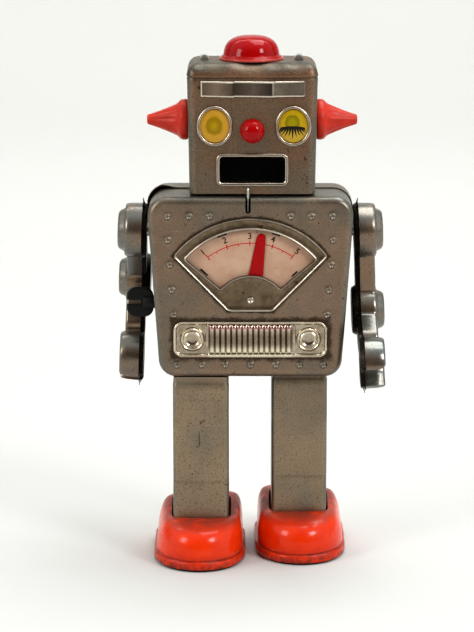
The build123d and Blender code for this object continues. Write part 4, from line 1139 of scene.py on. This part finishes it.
# ---------------------------------------------------------------- grille
def build_grille():
    """Bright pressing: a bead round it, fifteen half-round ribs and a dished knob at each end."""
    centre = ((GRILLE_LOW.x + GRILLE_HIGH.x) / 2, (GRILLE_LOW.z + GRILLE_HIGH.z) / 2)
    width = GRILLE_HIGH.x - GRILLE_LOW.x
    tall = GRILLE_HIGH.z - GRILLE_LOW.z
    bead = [(0.0, 0.0), (0.1, 0.9), (0.35, 1.35), (0.75, 1.5), (1.15, 1.3), (1.5, 0.75), (1.75, 0.5)]
    knob = [
        (0.0, 0.62), (1.6, 0.72), (2.6, 1.0), (3.1, 1.35), (3.5, 1.5), (3.85, 1.25),
        (4.15, 1.15), (4.5, 1.6), (4.95, 1.75), (5.35, 1.35), (5.7, 0.5),
    ]
    knobs = [(centre[0] + side * 26.4, centre[1]) for side in (-1, 1)]
    pitch, rib_half, rib_end = 2.5, 1.08, 5.0

    def height(d, x, z):
        if -d < bead[-1][0]:
            return interpolate(bead, -d)
        for place in knobs:
            reach = math.hypot(x - place[0], z - place[1])
            if reach < knob[-1][0]:
                return interpolate(knob, reach)
        across = x - centre[0]
        if abs(across) < 7.5 * pitch:
            from_rib = across - pitch * round(across / pitch)
            over = max(abs(z - centre[1]) - rib_end, 0) / 1.5
            swell = max(1 - (from_rib / rib_half) ** 2, 0) * max(1 - over * over, 0)
            return 0.42 + 0.85 * math.sqrt(swell)
        step = smoothstep((abs(across) - 18.9) / 0.5) * smoothstep((20.6 - abs(across)) / 0.5)
        return 0.5 + 0.45 * step

    points, faces = pressing(
        lambda x, z: box_distance(x, z, centre, width, tall, 4.4), box_round(GRILLE_LOW, GRILLE_HIGH),
        edge_lines(bead), height, [(place, [row[0] for row in knob[1:]]) for place in knobs],
        0.6, 0.35, lattice=(pitch / 8, 0.5),
    )
    form = Form().add([(x, CHEST_Y - h, z) for x, z, h in points], faces).wobble(0.04, 5.0)
    make("grille_pressing", form, GRILLE_METAL, "torso", ["grille_plate"], 0.3, 50,
         front=AHEAD)


# ---------------------------------------------------------------- head
def head_outline(z, inset=0.0, least=0.3):
    """Plan of the head at a height: it widens a little upwards."""
    half = HEAD_TOP_HALF - HEAD_TAPER * (HEAD_HIGH.z - z) / (HEAD_HIGH.z - HEAD_LOW.z)
    corners = rectangle(HEAD_X - half, HEAD_X + half, HEAD_FRONT, HEAD_HIGH.y)
    return rounded_outline(corners, (HEAD_CORNER,) * 4, inset, 2.0, 8, least)


def build_head_shell():
    levels = [(0.0, HEAD_LOW.z + (HEAD_HIGH.z - 0.9 - HEAD_LOW.z) * step / 25) for step in range(26)]
    levels += [(0.05, HEAD_HIGH.z - 0.7), (0.4, HEAD_HIGH.z - 0.5), (0.4, HEAD_HIGH.z)]
    rings = [[(x, y, z) for x, y in head_outline(z, inset)] for inset, z in levels]
    middle = (MOUTH_LOW + MOUTH_HIGH) / 2
    openings = [oval_points((x, EYE_Z), 13.4, 15.1) for x in EYES.values()]
    openings.append(rectangle(middle.x - 15.2, middle.x + 15.2, middle.z - 6.5, middle.z + 6.5))
    openings.append(circle_points((WIRE_X, WIRE_Z), 0.75))
    cutters = [prism(outline, FRONT, -20, -16) for outline in openings]
    for centre, radius, starts, length in (
        ((0, EAR_Z), 2.1, (-31, 27), 4), ((NECK_Y, NECK_Z), 1.56, (-31, 26), 5),
    ):
        for start in starts:
            x = HEAD_X + start
            cutters.append(prism(circle_points(centre, radius), SIDE, x, x + length))
    make("head_box", Form().skin(rings).wobble(0.09, 15.0), BODY_PAINT, "head", ["head_shell"],
         SHEET, cutters=cutters)


def build_head_lid():
    """Lid with round shoulders, a lip standing proud at the seam, and old dents along its front."""
    tall = LID_HIGH.z - LID_LOW.z
    lift = [(0.02, 0.0), (-0.12, 0.25), (-0.12, 0.8), (0.0, 1.1), (0.0, tall - LID_RADIUS)]
    for turn in range(10, 91, 10):
        a = math.radians(turn)
        lift.append((LID_RADIUS * (1 - math.cos(a)), tall - LID_RADIUS * (1 - math.sin(a))))
    rings = []
    for inset, up in lift:
        rings.append([(x, y, LID_LOW.z + up) for x, y in head_outline(HEAD_HIGH.z, inset, 2.4)])
    form = Form().skin(rings)
    points, faces = fill([(x, y) for x, y, z in rings[-1]], spacing=1.4)
    form.add([(x, y, LID_HIGH.z) for x, y in points], faces)
    dents = (
        ((4.0, -16.8, 229.0), 5.5, 1.1), ((-3.5, -16.5, 229.5), 3.6, 0.8),
        ((11.5, -15.5, 229.6), 3.2, 0.95), ((-15.0, -17.5, 228.0), 5.0, 0.55),
        ((20.5, -15.5, 229.2), 4.0, 0.7), ((-22.0, -16.5, 228.6), 2.8, 0.5),
    )
    for point in form.points:
        for place, size, depth in dents:
            near = math.exp(-((point - Vector(place)).length / size) ** 2)
            point += Vector((0, 0.55, -0.85)) * depth * near
    make("head_cap", form.wobble(0.10, 9.0), LID_PAINT, "head", ["head_lid"], 0.45)


def build_lid_tabs():
    """The lamp strap's two tabs, each folded over into a small lump on the lid."""
    low, high = node_box("lid_tabs")
    form = Form()
    for x in (low.x + 1.5, high.x - 1.5):
        arch = []
        for step in range(13):
            a = math.pi * step / 12
            arch.append((x - 1.9 * math.cos(a), low.z - 0.3 + 2.4 * math.sin(a) ** 0.6))
        rings = [[(u, y, z) for u, z in arch] for y in np.linspace(low.y, high.y, 7)]
        form.skin(rings).cap(rings[0]).cap(rings[-1])
    make("lid_tab_folds", form.wobble(0.35, 2.2), STEEL, "head", ["lid_tabs"])


def build_dome():
    profile = [
        (14.4, 0.0), (14.6, 0.25), (14.5, 0.8), (14.1, 1.15), (13.75, 1.35), (13.6, 1.75), (13.2, 1.95),
        (12.85, 2.1), (12.72, 2.5), (12.6, 3.4), (12.35, 4.6), (11.85, 6.0), (11.1, 7.3), (10.0, 8.5),
        (8.5, 9.5), (6.6, 10.25), (4.4, 10.72), (2.2, 10.92), (0.001, 10.98),
    ]
    form = Form().lathe(profile, Matrix.Translation(((DOME_LOW.x + DOME_HIGH.x) / 2, 0, DOME_LOW.z)), 96)
    for point in form.points:
        if point.z < DOME_LOW.z + 1.0:
            angle = math.atan2(point.y, point.x)
            point.z += 0.12 * (math.sin(5 * angle) + math.sin(8 * angle + 1.0)) * (point.z - DOME_LOW.z)
    make("lamp_dome", form, DOME_PLASTIC, "head", ["head_dome"], 0.9, 60)


def build_ears():
    """Plastic cones with a round collar and shallow flutes running to a blunt tip."""
    profile = [
        (8.4, 0.0), (8.95, 0.35), (9.25, 1.1), (9.3, 2.0), (9.15, 2.9), (8.75, 3.7), (8.1, 4.3), (7.6, 4.75),
        (7.1, 5.6), (6.1, 7.9), (5.1, 10.3), (4.1, 12.8), (3.2, 15.3), (2.55, 17.3), (2.3, 18.2),
        (2.0, 18.6), (1.4, 18.8), (0.001, 18.85),
    ]

    def flutes(angle, height):
        fade = smoothstep((height - 4.6) / 2.5) * smoothstep((18.4 - height) / 2.0)
        return 1.0 - 0.075 * fade * (0.5 + 0.5 * math.cos(9 * angle)) ** 1.5

    for name, side in SIDES.items():
        root = Matrix.Translation((HEAD_X + side * 28.97, 0, EAR_Z))
        form = Form().lathe(profile, root @ Matrix.Rotation(math.radians(side * 90), 4, "Y"), 108, flutes)
        make(f"ear_{name}", form, EAR_PLASTIC, "head", [f"ear_cone_{name}"], sharp=60)


def lens_front(dx, dz):
    """y of the slightly domed eye picture, at a distance from its middle."""
    return HEAD_FRONT - 0.45 - 0.5 * (1 - (dx / 6.55) ** 2 - (dz / 7.4) ** 2)


def build_eyes():
    ring = [
        (0.0, 0.0), (0.0, 0.55), (0.12, 1.0), (0.4, 1.4), (0.8, 1.58), (1.15, 1.5), (1.4, 1.22),
        (1.55, 0.85), (1.6, 0.4), (1.6, -0.3),
    ]
    width, tall = EYE_PICTURE
    for name, x in EYES.items():
        rings = []
        for inset, up in ring:
            oval = oval_points((x, EYE_Z), 16.3 - 2 * inset, 18.5 - 2 * inset)
            rings.append([(u, HEAD_FRONT - up, z) for u, z in oval])
        make(f"eye_ring_{name}", Form().skin(rings), BRIGHT, "head", [f"eye_bezel_{name}"],
             sharp=60)
        rings = [[(u, HEAD_FRONT + 0.7, z) for u, z in oval_points((x, EYE_Z), width, tall)]]
        for share in (1.0, 0.96, 0.85, 0.7, 0.5, 0.3, 0.12, 0.01):
            oval = oval_points((x, EYE_Z), width * share, tall * share)
            rings.append([(u, lens_front(u - x, z - EYE_Z), z) for u, z in oval])
        make(f"eye_picture_{name}", Form().skin(rings), EYE_MATERIALS[name], "head",
             [f"eye_lens_{name}"])
    build_lashes(EYES["left"] - 0.3)


def build_lashes(x):
    """The winking eye's printed lid line and its fan of lashes."""

    def printed(u, v):
        return x + u, lens_front(u, v) - 0.04, EYE_Z + v

    rows = []
    for step in range(25):
        u = -5.5 + 11.0 * step / 24
        v = -0.35 - 0.45 * (u / 5.5) ** 2
        half = 0.36 * (1 - (abs(u) / 6.3) ** 4)
        rows.append([printed(u, v + h) for h in (-half, half)])
    form = Form().skin(rows, closed=False)
    lashes = 11
    for number in range(lashes):
        share = number / (lashes - 1) * 2 - 1
        root = Vector((4.9 * share, -0.45 - 0.4 * share * share))
        length = 4.9 - 1.5 * abs(share) + 0.45 * math.cos(2.4 * number)
        lean = math.radians(38 * share)
        rows = []
        for step in range(7):
            along = step / 6
            bend = lean * (0.5 + 0.9 * along)
            at = root + Vector((math.sin(bend), -math.cos(bend))) * length * along
            half = 0.56 * (1 - along) ** 0.75 + 0.03
            rows.append([printed(at.x + w, at.y) for w in (-half, half)])
        form.skin(rows, closed=False)
    make("eye_lashes", form, LASH_INK, "head", wall=0.03, front=AHEAD)


def build_nose_and_mouth():
    middle = (NOSE_LOW + NOSE_HIGH) / 2
    profile = [(5.55, 0.0), (5.6, 0.4), (5.5, 0.75)]
    for turn in range(10, 90, 10):
        a = math.radians(turn)
        profile.append((5.42 * math.cos(a) ** 0.9, 0.8 + 4.75 * math.sin(a)))
    profile.append((0.001, 5.55))
    nose = Form().lathe(profile, facing_out(middle.x, middle.z, HEAD_FRONT), 72)
    make("nose", nose, DOME_PLASTIC, "head", ["nose_button"], sharp=60)

    corners = rectangle(MOUTH_LOW.x, MOUTH_HIGH.x, MOUTH_LOW.z, MOUTH_HIGH.z)
    bead = [
        (0.0, 0.0), (0.0, 0.55), (0.14, 0.95), (0.45, 1.22), (0.85, 1.28), (1.25, 1.15),
        (1.6, 0.85), (1.78, 0.45), (1.85, -0.2), (1.85, -1.5),
    ]
    rings = [
        [(x, HEAD_FRONT - up, z) for x, z in rounded_outline(corners, (3.0,) * 4, inset, 1.6, 8, 1.3)]
        for inset, up in bead
    ]
    make("mouth_rim", Form().skin(rings).wobble(0.05, 4.0), BRIGHT, "head", ["mouth_frame"],
         0.25, 60, front=AHEAD)


def build_brow():
    """Bright strip across the brow: a raised border and three facets with a crease between each."""
    first, second = -7.9, 10.4
    x0, x1, z0, z1 = BROW_LOW.x, BROW_HIGH.x, BROW_LOW.z, BROW_HIGH.z
    facets = [
        (x0, 0.20), (first, 0.42), (first + 0.5, 0.30), (second, 0.34), (second + 0.4, 0.44), (x1, 0.12),
    ]
    shift = [
        (x0, 0.1), (first, -0.28), (first + 0.6, 0.0), (second, -0.25), (second + 0.5, -0.1), (x1, 0.1),
    ]
    border = [(0.0, 0.0), (0.08, 0.3), (0.25, 0.46), (0.5, 0.48), (0.75, 0.34), (0.95, 0.0)]
    middle = ((x0 + x1) / 2, (z0 + z1) / 2)

    def height(d, x, z):
        open_end = smoothstep((x1 - 0.55 - x) / 0.5)
        return interpolate(facets, x) * smoothstep(-d / 0.1) + interpolate(border, -d) * open_end

    points, faces = pressing(
        lambda x, z: box_distance(x, z, middle, x1 - x0, z1 - z0, 0.4), box_round(BROW_LOW, BROW_HIGH),
        edge_lines(border), height, cell=0.3, spacing=0.8,
    )
    form = Form().add([(x, HEAD_FRONT - h, z + interpolate(shift, x)) for x, z, h in points], faces)
    make("brow_strip", form, BROW_METAL, "head", ["forehead_plate"], 0.2, 28, front=AHEAD)


# ---------------------------------------------------------------- legs
def build_legs():
    """Square tubes with a pressed line across the shin and a step near the top."""
    low, high = node_box("leg_column_left")
    levels = [(0.30, high.z + 0.4), (0.30, 83.9), (0.18, 83.5), (0.0, 82.9)]
    levels += [(0.0, z) for z in np.linspace(80, 39.2, 19)]
    levels += [(0.0, 38.0), (0.06, 37.7), (0.06, 37.55), (0.0, 37.3)]
    levels += [(0.0, z) for z in np.linspace(35, low.z, 14)]
    corners = rectangle(LEG_X - LEG_HALF_WIDTH, LEG_X + LEG_HALF_WIDTH, LEG_FRONT, LEG_BACK)
    plans = [(rounded_outline(corners, (2.2,) * 4, inset, 2.0, 7), z) for inset, z in levels]
    for name, side in SIDES.items():
        rings = [[(side * x, y + side * STRIDE, z) for x, y in plan] for plan, z in plans]
        cutters = []
        if side < 0:
            cutters.append(prism(rectangle(-23.6, -23.3, 54, 61), FRONT, -25, -17))
        make(f"leg_{name}_tube", Form().skin(rings).wobble(0.09, 13.0), LEG_PAINT, f"leg_{name}",
             [f"leg_column_{name}"], SHEET, cutters=cutters)


# ---------------------------------------------------------------- boots
def boot_plan():
    """Plan of a boot as a loop: a half oval at heel and toe, and straight sides between them."""
    heel_length, toe_y, steps = 15.0, -8.0, 14
    heel_y = BOOT_HEEL - heel_length
    heel, toe = [], []
    for step in range(37):
        a = math.pi * step / 36
        heel.append((BOOT_HALF * math.cos(a), heel_y + heel_length * math.sin(a)))
    for step in range(45):
        a = math.pi * step / 44
        toe.append((-BOOT_HALF * math.cos(a), toe_y - (toe_y - BOOT_TOE) * math.sin(a)))
    side = [toe_y + (heel_y - toe_y) * step / steps for step in range(1, steps)]
    left = [(-BOOT_HALF, y) for y in reversed(side)]
    right = [(BOOT_HALF, y) for y in side]
    return [Vector((BOOT_X + x, y)) for x, y in heel + left + toe + right]


def opening_point(point):
    """Where the line from the leg's middle to a point of the plan meets the boot's opening."""
    middle = Vector((LEG_X, 0.0))
    away = point - middle
    half_x, half_y, squareness = 13.75, 15.0, 7.0
    angle = math.atan2(away.y, away.x)
    c, s = abs(math.cos(angle)) / half_x, abs(math.sin(angle)) / half_y
    reach = (c ** squareness + s ** squareness) ** (-1 / squareness)
    opening = middle + Vector((math.cos(angle), math.sin(angle))) * reach
    opening.y += 0.5
    return opening


def rim_height(y):
    """The boot's rim is low in front of the leg and climbs to the heel."""
    return 20.3 + 3.0 * smoothstep((y + 13.0) / 27.0)


def boot_rings(low):
    """The left boot from the floor up: a rolled foot edge, a groove, the upper, and a rim turned in."""
    plan = boot_plan()
    normals = []
    for index, point in enumerate(plan):
        along = plan[(index + 1) % len(plan)] - plan[index - 1]
        normals.append(Vector((-along.y, along.x)).normalized())
    foot = [
        (0.2, 0.0), (0.1, 0.5), (0.1, 2.3), (0.2, 2.95), (0.5, 3.35), (1.1, 3.5), (1.35, 3.75), (1.2, 4.3),
    ]
    rings = []
    for inset, up in foot:
        rings.append([(p.x + n.x * inset, p.y + n.y * inset, low + up) for p, n in zip(plan, normals)])
    base_inset, base_z = foot[-1][0], low + foot[-1][1]
    steps = 22
    for step in range(1, steps + 1):
        turn = math.radians(90 * step / steps)
        ring = []
        for p, n in zip(plan, normals):
            end = opening_point(p)
            toe = smoothstep((-p.y - 10) / 22)
            outer = smoothstep((p.x - BOOT_X) / 14) * (1 - toe)
            inner = smoothstep((BOOT_X - p.x) / 14) * (1 - toe)
            across = 1 - math.cos(turn) ** (0.60 + 0.04 * toe + 0.30 * outer - 0.14 * inner)
            rise = math.sin(turn) ** (0.62 - 0.06 * toe + 0.26 * outer - 0.12 * inner)
            at = (p + n * base_inset).lerp(end, across)
            lean = math.sin(turn) * (1 - across)
            z = base_z + (rim_height(end.y) - base_z) * rise
            ring.append((at.x + n.x * lean, at.y + n.y * lean, z))
        rings.append(ring)
    for drop, inward in ((0.35, 0.22), (0.9, 0.3), (2.2, 0.3)):
        ring = []
        for p in plan:
            end = opening_point(p)
            at = end - (end - Vector((LEG_X, 0.0))).normalized() * inward
            ring.append((at.x, at.y, rim_height(end.y) - drop))
        rings.append(ring)
    return rings


def build_boots():
    low = node_box("boot_left")[0].z
    rings = boot_rings(low)
    for name, side in SIDES.items():
        placed = [[(side * x, y + side * STRIDE, z) for x, y, z in ring] for ring in rings]
        form = Form().skin(placed).wobble(0.16, 9.0)
        for point in form.points:
            point.z = max(point.z, low)
        make(f"boot_{name}_shell", form, BOOT_ENAMEL, f"leg_{name}", [f"boot_{name}"],
             0.45, 50)


# ---------------------------------------------------------------- arms
ARM_EDGE = [(0.0, 0.0), (0.22, 5.6), (0.34, 6.25), (0.6, 6.68), (1.0, 6.92), (1.5, 7.0)]
PALM = [(0.4, 6.9), (0.65, 8.3), (0.9, 8.75), (1.4, 9.0)]
FLANGE = [(-0.84, 0.0), (-0.76, 0.22), (-0.1, 0.26), (0.15, 0.5), (0.3, 1.5), (0.6, 1.95), (1.1, 2.1)]
ELBOW_BACK = [(9.9, 4.0), (10.6, 3.75), (11.1, 3.1), (11.4, 2.2)]


def arm_joints(swing):
    """Shoulder, elbow and hand centres of an arm, as y and z about the shoulder."""
    upper, fore = math.radians(swing), math.radians(swing - ARM_BEND)
    elbow = np.array((UPPER_ARM * math.sin(upper), -UPPER_ARM * math.cos(upper)))
    hand = elbow + np.array((FOREARM * math.sin(fore), -FOREARM * math.cos(fore)))
    return np.zeros(2), elbow, hand


def hand_distance(y, z, hand, lean):
    """A disc with a mouth that is round at its root and open away from the elbow."""
    c, s = math.cos(lean), math.sin(lean)
    u = (y - hand[0]) * c + (z - hand[1]) * s
    v = -(y - hand[0]) * s + (z - hand[1]) * c
    mouth = bar_distance(u, v, (0, -3.5), (0, -20.0), 4.5)
    return np.maximum(np.hypot(u, v) - ARM_DISCS[2], -mouth)


def arm_distance(y, z, joints, lean):
    """Distance to the side view of the arm."""
    shoulder, elbow, hand = joints
    wrist = elbow + (hand - elbow) * 0.7
    d = disc_distance(y, z, shoulder, ARM_DISCS[0])
    d = soft_union(d, bar_distance(y, z, shoulder, elbow, 6.5), 1.2)
    d = soft_union(d, disc_distance(y, z, elbow, ARM_DISCS[1]), 1.2)
    d = soft_union(d, bar_distance(y, z, elbow, wrist - (wrist - elbow) * 0.18, 6.0), 1.2)
    return soft_union(d, hand_distance(y, z, hand, lean), 1.0)


def arm_place(side):
    """Local X runs out along the shoulder axis; y and z are the side view."""
    placed = Matrix.Translation(SHOULDER) @ Matrix.Rotation(math.radians(-ARM_SPLAY), 4, "Y")
    return placed if side > 0 else Matrix.Scale(-1, 4, (1, 0, 0)) @ placed


def joint_relief(radius, disc, boss):
    """Relief over a joint by the distance from its centre: a sloped boss on a disc with a round rim."""
    foot = radius * 0.80
    return [
        (foot - 3.2, boss), (foot - 2.3, boss - 0.1), (foot - 1.6, boss - 0.5),
        (foot - 1.1, boss - 1.1), (foot - 0.4, disc + 0.6), (foot, disc + 0.1),
        (radius - 1.3, disc - 0.05), (radius - 0.75, disc - 0.3), (radius - 0.4, disc - 0.9),
    ]


def raised(level, depth, y, z, bosses, slack=0.0):
    """A relief with bosses, as (centre, table), standing out of it away from its edge."""
    for centre, table in bosses:
        reach = math.hypot(y - centre[0], z - centre[1])
        if reach < table[-1][0] + slack and depth > 0.3:
            level = max(level, interpolate(table, reach))
    return level


def boss_circles(bosses):
    return [(centre, [row[0] for row in table]) for centre, table in bosses]


def add_folded_tab(form, centre, radius, turn, place):
    """A small pointed tab that stands out from the arm's flange."""
    rows = []
    for share in (0.0, 0.2, 0.4, 0.6, 0.8, 1.0):
        half = 2.6 * (1 - share) ** 0.8 + 0.5
        v = -(radius - 0.8 + 3.8 * share)
        row = []
        for across in (-half, half):
            u = across + 3.6
            y = centre[0] + u * math.cos(turn) - v * math.sin(turn)
            z = centre[1] + u * math.sin(turn) + v * math.cos(turn)
            row.append(place @ Vector((-0.3 - 1.5 * (1 - share) ** 1.6, y, z)))
        rows.append(row)
    form.skin(rows, closed=False)


def build_arm(name, side):
    """An arm of two half shells clamped by a flange, with pressed discs and bosses on the joints."""
    swing = ARM_SWINGS[name]
    lean = math.radians(swing - ARM_BEND)
    joints = arm_joints(swing)
    shoulder, elbow, hand = joints
    place = arm_place(side)
    out = Vector((side, 0, 0))
    low, high = np.min(joints, axis=0) - 15, np.max(joints, axis=0) + 15
    bosses = [
        (tuple(shoulder), joint_relief(ARM_DISCS[0], 7.8, 11.0)),
        (tuple(elbow), joint_relief(ARM_DISCS[1], 7.5, 10.9)),
    ]
    backs = [(tuple(elbow), ELBOW_BACK)]

    def distance(y, z):
        return arm_distance(y, z, joints, lean)

    def outer_height(d, y, z):
        level = raised(interpolate(ARM_EDGE, -d), -d, y, z, bosses, 0.01)
        in_hand = float(-hand_distance(np.array(y), np.array(z), hand, lean))
        if in_hand > 0.4 and -d > 0.35:
            level = max(level, interpolate(PALM, in_hand))
        return level

    def inner_height(d, y, z):
        return raised(interpolate(FLANGE, -d), -d, y, z, backs)

    points, faces = pressing(
        distance, (low[0], high[0], low[1], high[1]), edge_lines(ARM_EDGE), outer_height,
        boss_circles(bosses), 1.1,
    )
    outer = Form().add([place @ Vector((h, y, z)) for y, z, h in points], faces).wobble(0.08, 7.0)
    make(f"arm_{name}_outer", outer, ARM_PAINT, f"arm_{name}", [f"arm_outer_{name}"],
         0.4, 42, front=out)

    points, faces = pressing(
        distance, (low[0] - 1, high[0] + 1, low[1] - 1, high[1] + 1), edge_lines(FLANGE), inner_height,
        boss_circles(backs), 1.3,
    )
    inner = Form().add([place @ Vector((-0.1 - h, y, z)) for y, z, h in points], faces)
    add_folded_tab(inner, shoulder, ARM_DISCS[0], math.pi, place)
    add_folded_tab(inner, hand, ARM_DISCS[2], 0.0, place)
    # the inner half shell is near black as painted shade
    make(f"arm_{name}_inner", inner.wobble(0.06, 7.0), INNER_SHADE_PAINT, f"arm_{name}",
         [f"arm_inner_{name}"], 0.3, 42, front=-out)


# ---------------------------------------------------------------- key
def build_key():
    """Black pressed key: two round lobes with a slot between them, on a short stem."""
    low, high = node_box("winding_key")
    middle = ((low.x + KEY_ROOT) / 2, (low.z + high.z) / 2)
    width, tall = KEY_ROOT - low.x, high.z - low.z

    def distance(x, z):
        plate = box_distance(x, z, middle, width, tall, 4.2)
        slot = box_distance(x, z, (low.x + 3.9, middle[1]), 9.0, 1.7, 0.8)
        return np.maximum(plate, -slot)

    edge = [(0.0, 0.0), (0.06, 0.35), (0.2, 0.6), (0.5, 0.8), (0.9, 0.88), (1.3, 0.9)]
    points, faces = pressing(
        distance, (low.x - 1, KEY_ROOT + 1, low.z - 1, high.z + 1), edge_lines(edge),
        lambda d, x, z: interpolate(edge, -d), cell=0.3, spacing=0.9,
    )
    form = Form()
    for way in (-1, 1):
        form.add([(x, way * h, z) for x, z, h in points], faces)
    stem = [(2.4, -43.9), (2.9, -44.0), (3.0, -44.3), (3.0, -49.2), (2.7, -49.5), (0.001, -49.6)]
    place = Matrix.Translation((0, 0, middle[1])) @ Matrix.Rotation(math.radians(90), 4, "Y")
    form.lathe(stem, place, 40)
    make("key_wings", form, BLACK, "winder", ["winding_key"], sharp=50)


# ---------------------------------------------------------------- floor, light and camera
def build_floor():
    """Plain pale sweep: a floor that curves up far behind the robot."""
    paper = Finish("paper")
    tone = paper.mix(paper.noise(180.0, 2.0), (0.550, 0.553, 0.538), (0.566, 0.569, 0.554))
    profile = [(-9000.0, 0.0), (-3000.0, 0.0), (-600.0, 0.0), (600.0, 0.0), (1500.0, 0.0)]
    for turn in range(9, 91, 9):
        a = math.radians(turn)
        profile.append((1500 + 700 * math.sin(a), 700 - 700 * math.cos(a)))
    profile.append((2200.0, 3000.0))
    rings = [[(x, y, z) for y, z in profile] for x in np.linspace(-9000, 9000, 9)]
    mesh = to_mesh(Form().skin(rings, closed=False), "floor", Vector((0, 0, 1)))
    shade(mesh, 60)
    mesh.materials.append(paper.done(Base_Color=tone, Roughness=0.75))
    put_in_scene("floor", mesh)


def soft_box(name, place, size, power, colour=(1.0, 1.0, 1.0), target=(0.0, 0.0, 0.13)):
    """An area light, aimed at the robot's chest unless told otherwise."""
    light = bpy.data.lights.new(name, "AREA")
    light.shape = "RECTANGLE"
    light.size, light.size_y = size
    light.energy = power
    light.color = colour
    lamp = put_in_scene(name, light)
    lamp.location = place
    lamp.rotation_euler = (Vector(target) - Vector(place)).to_track_quat("-Z", "Y").to_euler()


def build_light():
    """Four soft boxes, and a pale room that is dark only behind the camera."""
    soft_box("top_light", (0.35, 0.15, 1.4), (0.9, 0.7), 8.5)
    soft_box("left_light", (-1.1, -0.75, 0.75), (0.45, 0.6), 6.0, (1.0, 0.97, 0.93))
    soft_box("right_light", (1.0, -0.95, 0.95), (0.4, 0.5), 10.0, (0.98, 0.99, 1.0))
    soft_box("backdrop_light", (0.0, 0.9, 1.9), (2.6, 0.5), 29.0, (1.0, 0.99, 0.97), (0.0, 2.2, 0.7))
    world = bpy.data.worlds.new("studio")
    world.use_nodes = True
    bpy.context.scene.world = world
    nodes, links = world.node_tree.nodes, world.node_tree.links
    split = nodes.new("ShaderNodeSeparateXYZ")
    links.new(nodes.new("ShaderNodeTexCoord").outputs["Generated"], split.inputs[0])
    ramp = nodes.new("ShaderNodeMapRange")
    links.new(split.outputs["Y"], ramp.inputs["Value"])
    ramp.inputs["From Min"].default_value = -0.9
    ramp.inputs["From Max"].default_value = -0.35
    blend = nodes.new("ShaderNodeMix")
    blend.data_type = "RGBA"
    links.new(ramp.outputs["Result"], blend.inputs[0])
    blend.inputs[6].default_value = (0.10, 0.08, 0.06, 1.0)
    blend.inputs[7].default_value = (0.93, 0.95, 0.94, 1.0)
    links.new(blend.outputs[2], nodes["Background"].inputs["Color"])
    nodes["Background"].inputs["Strength"].default_value = 1.0


def build_camera():
    """Straight on, from a little above, with a long lens."""
    camera = bpy.data.cameras.new("camera")
    camera.lens = 36 * 2655 / 632
    camera.clip_end = 20.0
    view = put_in_scene("camera", camera)
    view.location = (-0.0061, -1.2, 0.36)
    view.rotation_euler = (math.radians(90 - 11.71), 0, 0)
    bpy.context.scene.camera = view
    bpy.context.scene.view_settings.view_transform = "Standard"
    bpy.context.scene.view_settings.look = "Medium High Contrast"


build_camera()
build_light()
build_floor()
finish_cad_nodes()
build_trunk()
build_bezel()
build_needle()
build_scale()
build_grille()
build_head_shell()
build_head_lid()
build_lid_tabs()
build_dome()
build_ears()
build_eyes()
build_nose_and_mouth()
build_brow()
build_legs()
build_boots()
for name, side in SIDES.items():
    build_arm(name, side)
build_key()

bpy.context.view_layer.update()
